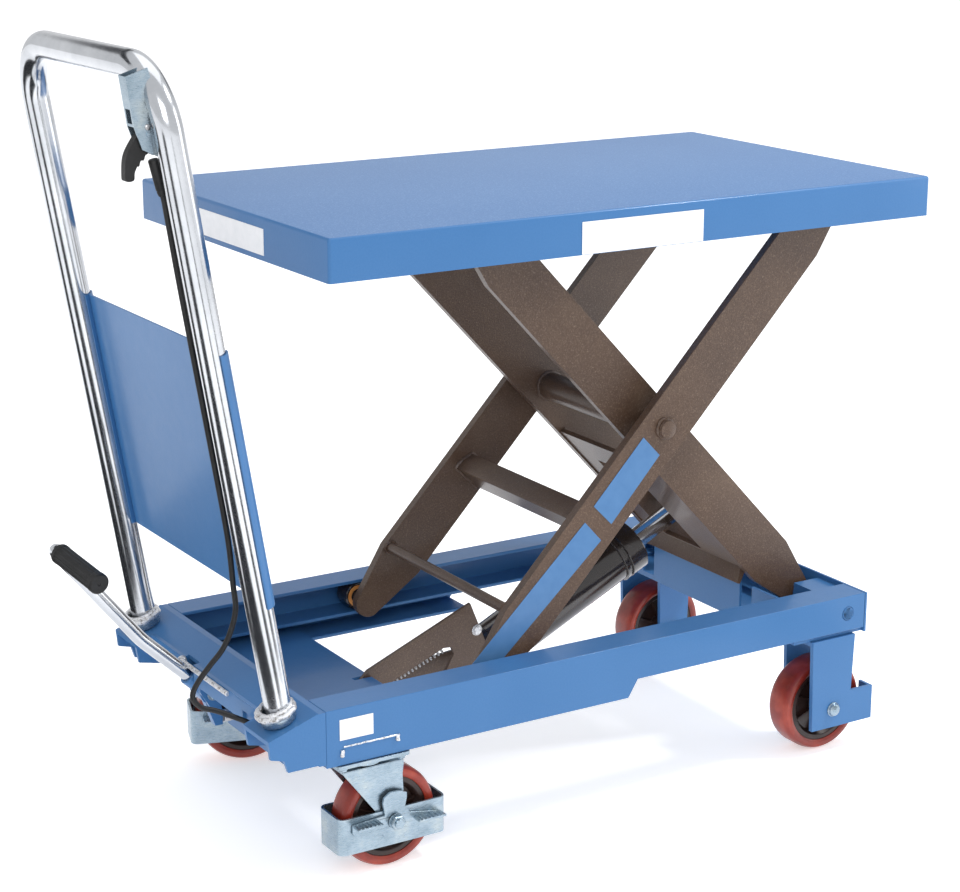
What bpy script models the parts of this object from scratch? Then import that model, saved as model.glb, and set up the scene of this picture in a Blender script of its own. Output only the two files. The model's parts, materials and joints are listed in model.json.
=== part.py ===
"""Scissor lift table cart: a foot-pumped hydraulic lift on two rigid wheels and two braked casters.

World frame: metres, +Z up, floor at z = 0, +X towards the rigid wheels, handle and pedal at -X, the
width along Y. Lengths below are measured from the middle of the table top; X0 moves the whole
cart so that its bounding box is centred on the origin.
"""

import math

import bmesh
import bpy
from mathutils import Matrix, Vector

for item in list(bpy.data.objects):
    bpy.data.objects.remove(item, do_unlink=True)

X0 = 0.11492  # table centre to the middle of the overall length
GAP = 0.0003  # between pieces that touch

# Table
TABLE_L, TABLE_W, SKIRT, SHEET = 0.855, 0.500, 0.050, 0.004
TABLE_TOP = 0.7719

# Scissor: pivot spacing, rest angle, pivot height on the base
ARM_L = 0.7534
ARM_A = math.radians(46.69)
PIVOT_X, PIVOT_Z = 0.350, 0.1945
ARM_W, ARM_T = 0.070, 0.012
TIP_R = 0.020
KINK = 0.305  # centre pivot to the start of the tapered ends
OUT_Y, IN_Y = 0.1465, 0.1060  # inner faces of the outer and the inner arms
SHAFT_R = 0.009
ROLLER_R, TRACK_HALF = 0.0184, 0.0193

# Base frame
RAIL_Y, RAIL_T = 0.2215, 0.005
RAIL_TOP, RAIL_LOW, RAIL_DEEP = 0.2185, 0.1705, 0.1480
RAIL_X0, RAIL_X1, STEP_X = -0.4267, 0.378, -0.002
LIP_Y = 0.1765
DECK_X, DECK_Z = -0.252, 0.1580
TAIL_X, TAIL_Z = -0.500, 0.1965

# Wheels
WHEEL_R, TYRE_R, TYRE_W = 0.0635, 0.0505, 0.040
FRONT_X, FRONT_Y = 0.331, 0.1810
SWIVEL_X, TRAIL, CASTER_Y = -0.365, 0.027, 0.1930
FAR_SWIVEL = math.radians(-18.0)
BAND_Y = 0.0270  # half the width of a caster's guard

# Handle
TUBE_R, POST_Y, LEAN = 0.016, 0.1917, 0.1642
FOOT_X, FOOT_Z, BAR_Z, BEND_R = -0.4712, 0.2155, 0.956, 0.070

# Hydraulic ram
RAM_Y = 0.020
RAM_HINGE = (-0.340, 0.112)
RAM_TIP = (0.2524, 0.2981)
RAM_A = math.radians(25.75)
BARREL_R, ROD_R = 0.0375, 0.0140

# Pedal
PEDAL_Y, PEDAL_PIVOT = 0.045, (-0.4553, 0.1653)

COS, SIN = math.cos(ARM_A), math.sin(ARM_A)
CENTRE = (PIVOT_X - ARM_L / 2 * COS, PIVOT_Z + ARM_L / 2 * SIN)
HIGH_Z = PIVOT_Z + ARM_L * SIN
ROLL_X = PIVOT_X - ARM_L * COS

parts = bpy.data.collections.new("parts")
tools = bpy.data.collections.new("tools")
bpy.context.scene.collection.children.link(parts)
bpy.context.scene.collection.children.link(tools)
tools.hide_render = True


def material(name, rgb, metallic, roughness):
    made = bpy.data.materials.new(name)
    made.use_nodes = True
    shader = made.node_tree.nodes["Principled BSDF"]
    shader.inputs["Base Color"].default_value = (*rgb, 1.0)
    shader.inputs["Metallic"].default_value = metallic
    shader.inputs["Roughness"].default_value = roughness
    return made


BLUE = ("blue paint", (0.088, 0.232, 0.559), 0.0, 0.35)
BROWN = ("brown powder coat", (0.085, 0.058, 0.043), 0.1, 0.45)
ZINC = ("zinc plate", (0.52, 0.60, 0.66), 0.9, 0.35)
CHROME = ("chrome", (0.80, 0.81, 0.83), 1.0, 0.12)
STEEL = ("bright steel", (0.56, 0.56, 0.58), 1.0, 0.30)
RED = ("red polyurethane", (0.42, 0.035, 0.022), 0.0, 0.40)
DARK = ("dark hub", (0.035, 0.022, 0.018), 0.2, 0.50)
BLACK = ("black rubber", (0.010, 0.010, 0.011), 0.0, 0.60)


def solid(name, mesh, tool=False):
    """An object on its own closed mesh, with its corners merged and its faces turned outwards."""
    bm = bmesh.new()
    bm.from_mesh(mesh)
    bmesh.ops.remove_doubles(bm, verts=bm.verts, dist=2e-6)
    bmesh.ops.recalc_face_normals(bm, faces=bm.faces)
    bm.to_mesh(mesh)
    bm.free()
    made = bpy.data.objects.new(name, mesh)
    (tools if tool else parts).objects.link(made)
    made.hide_render = tool
    if tool:
        made.display_type = "WIRE"
    return made


def placed(mesh, matrix):
    mesh.transform(Matrix.Translation((X0, 0, 0)) @ matrix)
    return mesh


def baked(curve, matrix):
    """The mesh of a curve, in place."""
    holder = bpy.data.objects.new("holder", curve)
    bpy.context.scene.collection.objects.link(holder)
    graph = bpy.context.evaluated_depsgraph_get()
    mesh = bpy.data.meshes.new_from_object(holder.evaluated_get(graph))
    bpy.data.objects.remove(holder, do_unlink=True)
    return placed(mesh, matrix)


PLANES = {
    "XZ": Matrix(((1, 0, 0, 0), (0, 0, -1, 0), (0, 1, 0, 0), (0, 0, 0, 1))),
    "YZ": Matrix(((0, 0, 1, 0), (1, 0, 0, 0), (0, 1, 0, 0), (0, 0, 0, 1))),
    "XY": Matrix.Identity(4),
}


def plate(name, loops, plane, start, end, tool=False, frame=None):
    """Closed outlines filled and extruded between two positions along the normal of a plane."""
    curve = bpy.data.curves.new(name, "CURVE")
    curve.dimensions = "2D"
    curve.fill_mode = "BOTH"
    curve.extrude = abs(end - start) / 2
    for loop in loops:
        spline = curve.splines.new("POLY")
        spline.points.add(len(loop) - 1)
        for point, (a, b) in zip(spline.points, loop):
            point.co = (a, b, 0, 1)
        spline.use_cyclic_u = True
    middle = (start + end) / 2
    shift = {"XZ": (0, middle, 0), "YZ": (middle, 0, 0), "XY": (0, 0, middle)}[plane]
    matrix = Matrix.Translation(shift) @ PLANES[plane]
    return solid(name, baked(curve, (frame or Matrix.Identity(4)) @ matrix), tool)


def box(name, x, y, z, tool=False, frame=None):
    loop = [(x[0], z[0]), (x[1], z[0]), (x[1], z[1]), (x[0], z[1])]
    return plate(name, [loop], "XZ", y[0], y[1], tool, frame)


def rod(name, a, b, radius, sides=24, tool=False, frame=None):
    """A cylinder from point a to point b."""
    a, b = Vector(a), Vector(b)
    bm = bmesh.new()
    turn = (b - a).to_track_quat("Z", "Y").to_matrix().to_4x4()
    bmesh.ops.create_cone(
        bm, cap_ends=True, segments=sides, radius1=radius, radius2=radius, depth=(b - a).length
    )
    mesh = bpy.data.meshes.new(name)
    bm.to_mesh(mesh)
    bm.free()
    matrix = (frame or Matrix.Identity(4)) @ Matrix.Translation((a + b) / 2) @ turn
    return solid(name, placed(mesh, matrix), tool)


def ring(name, section, centre, sides=48, tool=False, frame=None):
    """A closed section of (radius, y) turned about the Y axis through a centre."""
    bm = bmesh.new()
    corners = [bm.verts.new((0, y, r)) for r, y in section]
    edges = [bm.edges.new(pair) for pair in zip(corners, corners[1:] + corners[:1])]
    bmesh.ops.spin(
        bm, geom=corners + edges, axis=(0, 1, 0), cent=(0, 0, 0), steps=sides, angle=math.tau
    )
    mesh = bpy.data.meshes.new(name)
    bm.to_mesh(mesh)
    bm.free()
    matrix = (frame or Matrix.Identity(4)) @ Matrix.Translation(centre)
    return solid(name, placed(mesh, matrix), tool)


def tube(name, points, radius, tool=False, frame=None, sides=2):
    """A round bar along a polyline."""
    curve = bpy.data.curves.new(name, "CURVE")
    curve.dimensions = "3D"
    curve.bevel_depth = radius
    curve.bevel_resolution = sides
    curve.use_fill_caps = True
    spline = curve.splines.new("POLY")
    spline.points.add(len(points) - 1)
    for point, place in zip(spline.points, points):
        point.co = (*place, 1)
    return solid(name, baked(curve, frame or Matrix.Identity(4)), tool)


def combine(base, others, how):
    for other in others:
        step = base.modifiers.new(other.name, "BOOLEAN")
        step.operation = how
        step.solver = "EXACT"
        step.object = other


def join(base, *others):
    combine(base, others, "UNION")
    return base


def cut(base, *others):
    combine(base, others, "DIFFERENCE")
    return base


def finish(made, look, bevel=0.0, origin=None):
    """Gives a part its material, its small edge radius and the origin of its joint."""
    found = bpy.data.materials.get(look[0]) or material(*look)
    made.data.materials.clear()
    made.data.materials.append(found)
    if bevel:
        edge = made.modifiers.new("edge", "BEVEL")
        edge.width = bevel
        edge.segments = 1
        edge.limit_method = "ANGLE"
        edge.angle_limit = math.radians(40)
    if origin:
        move = Vector((origin[0] + X0, origin[1], origin[2]))
        made.data.transform(Matrix.Translation(-move))
        made.location = move
    return made


def circle(x, z, radius, sides=24):
    return [
        (x + radius * math.cos(math.tau * i / sides), z + radius * math.sin(math.tau * i / sides))
        for i in range(sides)
    ]


def arc(x, z, radius, first, last, steps):
    turns = [math.radians(first + (last - first) * i / steps) for i in range(steps + 1)]
    return [(x + radius * math.cos(t), z + radius * math.sin(t)) for t in turns]


def rounded(points, radius, steps):
    """A polyline with each inner corner turned into an arc."""
    points = [Vector(p) for p in points]
    made = [tuple(points[0])]
    for before, at, after in zip(points, points[1:], points[2:]):
        a, b = (before - at).normalized(), (after - at).normalized()
        half = a.angle(b) / 2
        reach = radius / math.tan(half)
        centre = at + (a + b).normalized() * radius / math.sin(half)
        first, last = at + a * reach - centre, at + b * reach - centre
        for i in range(steps + 1):
            made.append(tuple(centre + first.slerp(last, i / steps).normalized() * radius))
    return made + [tuple(points[-1])]


def turned(points, angle, about):
    c, s = math.cos(angle), math.sin(angle)
    return [(about[0] + c * a - s * b, about[1] + s * a + c * b) for a, b in points]


SIDES = (("near", -1), ("far", 1))


def span(side, low, high):
    """A range of |y| on one side of the cart."""
    return (side * low, side * high) if side > 0 else (-high, -low)


# ---------------------------------------------------------------- base frame
for tag, side in SIDES:
    web = [
        (RAIL_X0, RAIL_DEEP), (STEP_X, RAIL_DEEP), (STEP_X + 0.014, RAIL_LOW),
        (RAIL_X1, RAIL_LOW), (RAIL_X1, RAIL_TOP), (RAIL_X0, RAIL_TOP),
    ]
    rail = plate(f"rail_{tag}", [web], "XZ", *span(side, RAIL_Y - RAIL_T, RAIL_Y))
    join(
        rail,
        box(f"rail_top_{tag}", (RAIL_X0, RAIL_X1), span(side, LIP_Y, RAIL_Y - 0.001),
            (RAIL_TOP - 0.0045, RAIL_TOP), True),
        box(f"rail_ledge_{tag}", (RAIL_X0, RAIL_X1), span(side, LIP_Y, RAIL_Y - 0.001),
            (RAIL_LOW, RAIL_LOW + 0.0047), True),
        box(f"rail_foot_{tag}", (RAIL_X0, STEP_X), span(side, 0.168, RAIL_Y - 0.001),
            (RAIL_DEEP, RAIL_DEEP + 0.0046), True),
        box(f"rail_seat_{tag}", (0.327, 0.373), span(side, 0.1900, RAIL_Y - 0.001),
            (RAIL_LOW + 0.001, RAIL_TOP - 0.001), True),
    )
    cut(rail, rod(f"rail_bore_{tag}", (PIVOT_X, side * 0.15, PIVOT_Z), (PIVOT_X, side * 0.25, PIVOT_Z),
                  SHAFT_R + GAP, 24, True))
    finish(rail, BLUE)

# Rear deck: floor plate between the rails, its rear wall, and the sloped tail that carries the handle
deck = box("rear_deck", (-0.4280, DECK_X), (-0.2160, 0.2160), (0.1530, DECK_Z))
slope = [(-0.4362, 0.2130), (-0.4362, RAIL_TOP), (TAIL_X, TAIL_Z), (TAIL_X, TAIL_Z - 0.005)]
wing = [
    (-0.4362, 0.1545), (-0.4362, RAIL_TOP), (TAIL_X, TAIL_Z), (TAIL_X + 0.002, 0.1745),
    (-0.4810, 0.1700), (-0.4760, 0.1545),
]
cheek = [
    (-0.4362, 0.1620), (-0.4362, RAIL_TOP - 0.002), (TAIL_X, TAIL_Z - 0.002), (TAIL_X + 0.004, 0.1710),
    (-0.4680, 0.1650),
]
join(
    deck,
    box("deck_wall", (-0.4362, -0.4270), (-RAIL_Y, RAIL_Y), (0.1530, 0.2180), True),
    plate("deck_slope", [slope], "XZ", -RAIL_Y, RAIL_Y, True),
    plate("deck_wing_near", [wing], "XZ", -RAIL_Y, -RAIL_Y + 0.005, True),
    plate("deck_wing_far", [wing], "XZ", RAIL_Y - 0.005, RAIL_Y, True),
    plate("deck_cheek_near", [cheek], "XZ", -0.1605, -0.1550, True),
    plate("deck_cheek_far", [cheek], "XZ", 0.1550, 0.1605, True),
    box("deck_hem", (-0.4780, -0.4730), (-0.1560, 0.1560), (0.1800, 0.2060), True),
)
cut(
    deck,
    box("deck_recess", (-0.5100, -0.4782), (-0.1555, 0.1555), (0.1500, 0.2300), True),
    box("deck_slot", (-0.4900, -0.4690), (PEDAL_Y - 0.0162, PEDAL_Y + 0.0162), (0.1600, 0.2300), True),
    box("deck_cable_gap", (-0.4900, -0.4700), (-0.1380, -0.1080), (0.1700, 0.1930), True),
    box("deck_cradle_slot", (-0.2765, -0.2400), (RAM_Y - 0.0315, RAM_Y - 0.0235), (0.1500, 0.1700), True),
)
lug = [(-0.4310, 0.1480), (-0.4310, 0.2100), (-0.4730, 0.2060), (-0.4730, 0.1700), (-0.4600, 0.1480)]
for index, y in enumerate((PEDAL_Y - 0.0225, PEDAL_Y + 0.0165)):
    ear = plate(f"deck_lug_{index}", [lug], "XZ", y, y + 0.006, True)
    join(deck, ear)
cut(deck, rod("deck_lug_bore", (PEDAL_PIVOT[0], PEDAL_Y - 0.04, PEDAL_PIVOT[1]),
              (PEDAL_PIVOT[0], PEDAL_Y + 0.04, PEDAL_PIVOT[1]), 0.0063, 20, True))
hanger = [
    (-0.3600, 0.1545), (-0.3200, 0.1545), (-0.3240, 0.1000), *arc(-0.340, 0.112, 0.014, -20, -160, 6),
    (-0.3560, 0.1000),
]
for index, y in enumerate((RAM_Y - 0.0410, RAM_Y + 0.0350)):
    join(deck, plate(f"deck_ear_{index}", [hanger], "XZ", y, y + 0.006, True))
cut(deck, rod("deck_ear_bore", (RAM_HINGE[0], RAM_Y - 0.06, RAM_HINGE[1]),
              (RAM_HINGE[0], RAM_Y + 0.06, RAM_HINGE[1]), 0.0083, 20, True))
cut(deck, box("deck_cam_gap", (-0.4400, -0.4150), (PEDAL_Y - 0.0100, PEDAL_Y + 0.0100), (0.1500, 0.1850), True))
finish(deck, BLUE)

# Front cross beam, an open-topped box that the inner arms reach into
beam = box("front_beam", (0.265, 0.382), (-0.2160 + GAP, 0.2160 - GAP), (0.1640, 0.1702))
join(
    beam,
    box("beam_front", (0.3785, 0.382), (-RAIL_Y, RAIL_Y), (0.1640, RAIL_TOP), True),
    box("beam_rear", (0.2650, 0.2690), (-0.1755, 0.1755), (0.1650, RAIL_TOP), True),
)
for tag, side in SIDES:
    join(beam, box(f"beam_block_{tag}", (0.336, 0.380), span(side, 0.1250, 0.1755), (0.1650, 0.2120), True))
    cut(
        beam,
        box(f"beam_gate_{tag}", (0.260, 0.280), span(side, 0.0980, 0.1240), (0.1715, 0.2300), True),
        rod(f"beam_bore_{tag}", (PIVOT_X, side * 0.10, PIVOT_Z), (PIVOT_X, side * 0.20, PIVOT_Z),
            SHAFT_R + GAP, 24, True),
    )
finish(beam, BLUE)

shaft = rod("base_shaft", (PIVOT_X, -0.2222, PIVOT_Z), (PIVOT_X, 0.2222, PIVOT_Z), SHAFT_R)
finish(shaft, BLUE)

# Rigid forks for the front wheels
for tag, side in SIDES:
    outer = [(0.2965, 0.0380), (0.3585, 0.0380), (0.3640, 0.1637), (0.2930, 0.1637)]
    inner = [(0.3110, 0.0420), (0.3580, 0.0420), (0.3620, 0.1637), (0.3080, 0.1637)]
    fork = plate(f"front_fork_{tag}", [outer], "XZ", *span(side, 0.2150, 0.2213))
    join(
        fork,
        plate(f"fork_inner_{tag}", [inner], "XZ", *span(side, 0.1420, 0.1480), True),
        box(f"fork_top_{tag}", (0.2920, 0.3640), span(side, 0.1420, 0.2200), (0.1577, 0.1637), True),
        box(f"fork_toe_{tag}", (0.3560, 0.3980), span(side, 0.2165, 0.2213), (0.0380, 0.0845), True),
        box(f"fork_guard_{tag}", (0.3940, 0.3980), span(side, 0.1980, 0.2213), (0.0380, 0.0845), True),
    )
    cut(fork, rod(f"fork_bore_{tag}", (FRONT_X, side * 0.13, WHEEL_R), (FRONT_X, side * 0.23, WHEEL_R),
                  0.0063, 20, True))
    finish(fork, BLUE)
    axle = rod(f"front_axle_{tag}", (FRONT_X, side * 0.1350, WHEEL_R), (FRONT_X, side * 0.2240, WHEEL_R), 0.006, 16)
    join(
        axle,
        rod(f"axle_head_{tag}", (FRONT_X, side * 0.2216, WHEEL_R), (FRONT_X, side * 0.2285, WHEEL_R), 0.0092, 6, True),
        rod(f"axle_nut_{tag}", (FRONT_X, side * 0.1338, WHEEL_R), (FRONT_X, side * 0.1417, WHEEL_R), 0.0095, 6, True),
    )
    finish(axle, ZINC)


def wheel(tag, x, y, tread, hub_half, frame=None):
    """A tyre on its hub, turning on an axle along Y."""
    half, r = tread / 2, WHEEL_R
    tyre = ring(f"{tag}_tyre", [
        (TYRE_R, -half + 0.002), (r - 0.006, -half), (r - 0.0015, -half + 0.005), (r, -half + 0.010),
        (r, half - 0.010), (r - 0.0015, half - 0.005), (r - 0.006, half), (TYRE_R, half - 0.002),
    ], (x, y, WHEEL_R), 48, False, frame)
    finish(tyre, RED)
    rim = TYRE_R - GAP
    hub = ring(f"{tag}_hub", [
        (0.0063, -hub_half), (0.0150, -hub_half), (0.0165, -half + 0.011), (0.0400, -half + 0.011),
        (0.0440, -half + 0.003), (rim, -half + 0.003), (rim, half - 0.003), (0.0440, half - 0.003),
        (0.0400, half - 0.011), (0.0165, half - 0.011), (0.0150, hub_half), (0.0063, hub_half),
    ], (x, y, WHEEL_R), 48, False, frame)
    finish(hub, DARK)


for tag, side in SIDES:
    wheel(f"front_{tag}", FRONT_X, side * FRONT_Y, TYRE_W, 0.0325)

# ---------------------------------------------------------------- casters
for tag, side in SIDES:
    base = Vector((SWIVEL_X, side * CASTER_Y, 0.0))
    turn = FAR_SWIVEL if side > 0 else 0.0
    frame = Matrix.Translation(base) @ Matrix.Rotation(turn, 4, "Z")
    mid = side * CASTER_Y
    top = box(f"caster_plate_{tag}", (SWIVEL_X - 0.0490, SWIVEL_X + 0.0495), (mid - 0.0310, mid + 0.0310),
              (0.1432, 0.1477))
    join(top, rod(f"plate_race_{tag}", (SWIVEL_X, mid, 0.1365), (SWIVEL_X, mid, 0.1440), 0.0240, 32, True))
    finish(top, ZINC)

    leg = [
        (-0.0380, 0.1352), (0.0430, 0.1352), (0.0430, 0.1270), (TRAIL + 0.0170, 0.0600),
        *arc(TRAIL, WHEEL_R, 0.0150, -20, -160, 6), (TRAIL - 0.0190, 0.0720), (-0.0340, 0.1290),
    ]
    crown = plate(f"caster_fork_{tag}", [leg], "XZ", -0.0235, -0.0205, False, frame)
    join(
        crown,
        plate(f"crown_leg_{tag}", [leg], "XZ", 0.0205, 0.0235, True, frame),
        box(f"crown_top_{tag}", (-0.0375, 0.0425), (-0.0230, 0.0230), (0.1318, 0.1362), True, frame),
        rod(f"crown_axle_{tag}", (TRAIL, -0.0430, WHEEL_R), (TRAIL, 0.0330, WHEEL_R), 0.0058, 16, True, frame),
        rod(f"crown_nut_{tag}", (TRAIL, -0.0400, WHEEL_R), (TRAIL, -0.0318, WHEEL_R), 0.0098, 6, True, frame),
        rod(f"crown_head_{tag}", (TRAIL, 0.0280, WHEEL_R), (TRAIL, 0.0350, WHEEL_R), 0.0098, 6, True, frame),
    )
    finish(crown, ZINC)

    skin = BAND_Y - 0.0030
    band = plate(f"caster_guard_{tag}", [
        [(TRAIL - 0.0725, -BAND_Y), (TRAIL + 0.0725, -BAND_Y), (TRAIL + 0.0725, BAND_Y), (TRAIL - 0.0725, BAND_Y)],
        [(TRAIL - 0.0695, -skin), (TRAIL + 0.0695, -skin), (TRAIL + 0.0695, skin), (TRAIL - 0.0695, skin)],
    ], "XY", 0.0320, 0.0775, False, frame)
    cut(band, rod(f"guard_bore_{tag}", (TRAIL, -0.05, WHEEL_R), (TRAIL, 0.05, WHEEL_R), 0.0061, 20, True, frame))
    finish(band, ZINC)

    wheel(f"caster_{tag}", TRAIL, 0.0, 0.0360, 0.0200, frame)

    rocker = plate(f"caster_brake_{tag}", [[
        (TRAIL - 0.0570, 0.0700), (TRAIL - 0.0570, 0.0560), (TRAIL - 0.0180, 0.0500), (TRAIL - 0.0150, 0.0440),
        (TRAIL + 0.0080, 0.0430), (TRAIL + 0.0220, 0.0500), (TRAIL + 0.0560, 0.0575), (TRAIL + 0.0580, 0.0630),
        (TRAIL + 0.0200, 0.0700), (TRAIL + 0.0120, 0.0800), (TRAIL + 0.0180, 0.0960), (TRAIL - 0.0060, 0.1010),
        (TRAIL - 0.0170, 0.0930), (TRAIL - 0.0140, 0.0730),
    ], circle(TRAIL, WHEEL_R, 0.0062, 16)], "XZ", -0.0310, -0.0275, False, frame)
    join(
        rocker,
        box(f"brake_lip_a_{tag}", (TRAIL - 0.0565, TRAIL - 0.0230), (-0.0450, -0.0280), (0.0672, 0.0700), True, frame),
        box(f"brake_lip_b_{tag}", (TRAIL + 0.0250, TRAIL + 0.0620), (-0.0450, -0.0280), (0.0600, 0.0628), True, frame),
    )
    finish(rocker, ZINC)

# ---------------------------------------------------------------- handle
def on_handle(y, z):
    return (FOOT_X - LEAN * (z - FOOT_Z), y, z)


path = [on_handle(-POST_Y, 0.2060)]
rise = BAR_Z - BEND_R
for turn in range(0, 91, 15):
    t = math.radians(turn)
    path.append(on_handle(-POST_Y + BEND_R * (1 - math.cos(t)), rise + BEND_R * math.sin(t)))
for turn in range(90, -1, -15):
    t = math.radians(turn)
    path.append(on_handle(POST_Y - BEND_R * (1 - math.cos(t)), rise + BEND_R * math.sin(t)))
path.append(on_handle(POST_Y, 0.2060))
finish(tube("handle_frame", path, TUBE_R, sides=4), CHROME)

tail_tilt = math.atan2(RAIL_TOP - TAIL_Z, -0.4362 - TAIL_X)
for tag, side in SIDES:
    seat = Matrix.Translation((FOOT_X, side * POST_Y, 0.2068)) @ Matrix.Rotation(-tail_tilt + 0.02, 4, "Y")
    foot = rod(f"handle_foot_{tag}", (0, 0, 0.0013), (0, 0, 0.0150), 0.0205, 28, False, seat)
    join(foot, plate(f"foot_flange_{tag}", [[
        *arc(0.0, 0.0150, 0.0115, 0, 180, 8), *arc(0.0, -0.0150, 0.0115, 180, 360, 8),
    ]], "XY", 0.0110, 0.0165, True, seat))
    bore = rod(f"foot_bore_{tag}", on_handle(side * POST_Y, 0.15), on_handle(side * POST_Y, 0.30), TUBE_R + GAP, 32, True)
    cut(foot, bore)
    finish(foot, ZINC)
    cut(deck, rod(f"deck_socket_{tag}", on_handle(side * POST_Y, 0.15), on_handle(side * POST_Y, 0.30), TUBE_R + 0.0004, 32, True))

# Guard panel between the posts, with its edges rolled round them
PANEL_LOW, PANEL_HIGH = 0.350, 0.647
lean = math.atan(LEAN)
panel_frame = Matrix.Translation(on_handle(0.0, PANEL_LOW)) @ Matrix.Rotation(-lean, 4, "Y")
height = (PANEL_HIGH - PANEL_LOW) / math.cos(lean)
gap, skin = TUBE_R + 0.0004, 0.0022
edge_out = arc(0, 0, gap + skin, 80, -80, 12)
edge_in = arc(0, 0, gap, -80, 80, 12)
for tag, side in SIDES:
    loop = [(a, side * (POST_Y + 0) + side * b) for a, b in edge_out + edge_in]
    wrap = plate(f"panel_wrap_{tag}", [loop], "XY", 0.0, height, True, panel_frame)
sheet = box("guard_panel", (0.0085, 0.0107), (-POST_Y + 0.0140, POST_Y - 0.0140), (0.0, height), False, panel_frame)
join(sheet, bpy.data.objects["panel_wrap_near"], bpy.data.objects["panel_wrap_far"])
finish(sheet, BLUE)

# Release trigger behind the near post: a folded bracket that carries the finger lever
TRIG_Y, TRIG_PIVOT = -0.1710, (-0.6006, 0.8875)
cheek = [(-0.5990, 0.9570), (-0.6240, 0.9490), (-0.6165, 0.8960), (-0.6080, 0.8720), (-0.5890, 0.8630), (-0.5700, 0.8640)]
back = [(-0.6170, 0.9466), (-0.6240, 0.9490), (-0.6165, 0.8960), (-0.6120, 0.8960)]
bracket = plate("trigger_bracket", [cheek], "XZ", TRIG_Y - 0.0095, TRIG_Y - 0.0080)
join(
    bracket,
    plate("trigger_cheek", [cheek], "XZ", TRIG_Y + 0.0080, TRIG_Y + 0.0095, True),
    plate("trigger_back", [back], "XZ", TRIG_Y - 0.0090, TRIG_Y + 0.0090, True),
    rod("trigger_rivet", (TRIG_PIVOT[0], TRIG_Y - 0.0110, TRIG_PIVOT[1]),
        (TRIG_PIVOT[0], TRIG_Y + 0.0110, TRIG_PIVOT[1]), 0.0025, 12, True),
)
cut(
    bracket,
    tube("trigger_clear", path, TUBE_R + GAP, True, sides=4),
    plate("trigger_slot", [[(-0.6100, 0.8990), (-0.5990, 0.9240), (-0.6120, 0.9240), (-0.6300, 0.8990)]], "XZ",
          TRIG_Y - 0.0062, TRIG_Y + 0.0062, True),
)
finish(bracket, ZINC)
lever = plate("trigger_lever", [[
    (-0.5960, 0.8960), (-0.6060, 0.8930), (-0.6184, 0.8776), (-0.6252, 0.8637), (-0.6268, 0.8460), (-0.6256, 0.8395),
    (-0.6171, 0.8400), (-0.6157, 0.8478), (-0.6121, 0.8561), (-0.6066, 0.8618), (-0.6000, 0.8670), (-0.5940, 0.8800),
], circle(*TRIG_PIVOT, 0.0029, 16)], "XZ", TRIG_Y - 0.0055, TRIG_Y + 0.0055)
finish(lever, BLACK, 0.0, (TRIG_PIVOT[0], TRIG_Y, TRIG_PIVOT[1]))

# Release cable down the post to the pump
cable_path = [
    (-0.5925, TRIG_Y, 0.8600), (-0.5825, TRIG_Y, 0.8200), (-0.5790, TRIG_Y, 0.8000), (-0.5682, TRIG_Y, 0.7300),
    (-0.5594, TRIG_Y, 0.6760), (-0.5516, TRIG_Y, 0.6280), (-0.5410, TRIG_Y, 0.5640), (-0.5240, TRIG_Y, 0.4600),
    (-0.5170, TRIG_Y + 0.002, 0.4150), (-0.5100, TRIG_Y + 0.010, 0.3700), (-0.5040, -0.1530, 0.3380),
    (-0.5050, -0.1410, 0.3080), (-0.5110, -0.1290, 0.2820), (-0.5220, -0.1190, 0.2620), (-0.5330, -0.1110, 0.2430),
    (-0.5390, -0.1060, 0.2280), (-0.5390, -0.1050, 0.2180), (-0.5330, -0.1050, 0.2095), (-0.5255, -0.1050, 0.2040),
    (-0.5103, -0.1060, 0.1980), (-0.4894, -0.1140, 0.1880), (-0.4790, -0.1210, 0.1830), (-0.4680, -0.1220, 0.1760),
    (-0.4580, -0.1160, 0.1640), (-0.4480, -0.1040, 0.1500), (-0.4370, -0.0900, 0.1400), (-0.4300, -0.0750, 0.1340),
]
cable = tube("release_cable", cable_path, 0.0033, sides=1)
join(cable, rod("cable_boot", cable_path[0], cable_path[1], 0.0058, 12, True))
finish(cable, BLACK)

# ---------------------------------------------------------------- pump and pedal
pump = box("pump_body", (-0.408, -0.364), (-0.0900, 0.0850), (0.0950, 0.1526))
join(
    pump,
    rod("pump_head", (-0.4085, PEDAL_Y, 0.1240), (-0.3800, PEDAL_Y, 0.1240), 0.0170, 24, True),
    rod("pump_valve", (-0.4270, -0.0750, 0.1240), (-0.4000, -0.0750, 0.1240), 0.0090, 16, True),
)
cut(
    pump,
    rod("pump_bore", (-0.4500, PEDAL_Y, 0.1240), (-0.3680, PEDAL_Y, 0.1240), 0.0084, 20, True),
    tube("pump_port", cable_path[-2:] + [(-0.4260, -0.0750, 0.1310)], 0.0045, True, sides=2),
)
finish(pump, BLUE, 0.0015)
plunger = rod("pump_plunger", (-0.4340, PEDAL_Y, 0.1240), (-0.3965, PEDAL_Y, 0.1240), 0.0080, 20)
finish(plunger, STEEL)

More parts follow.
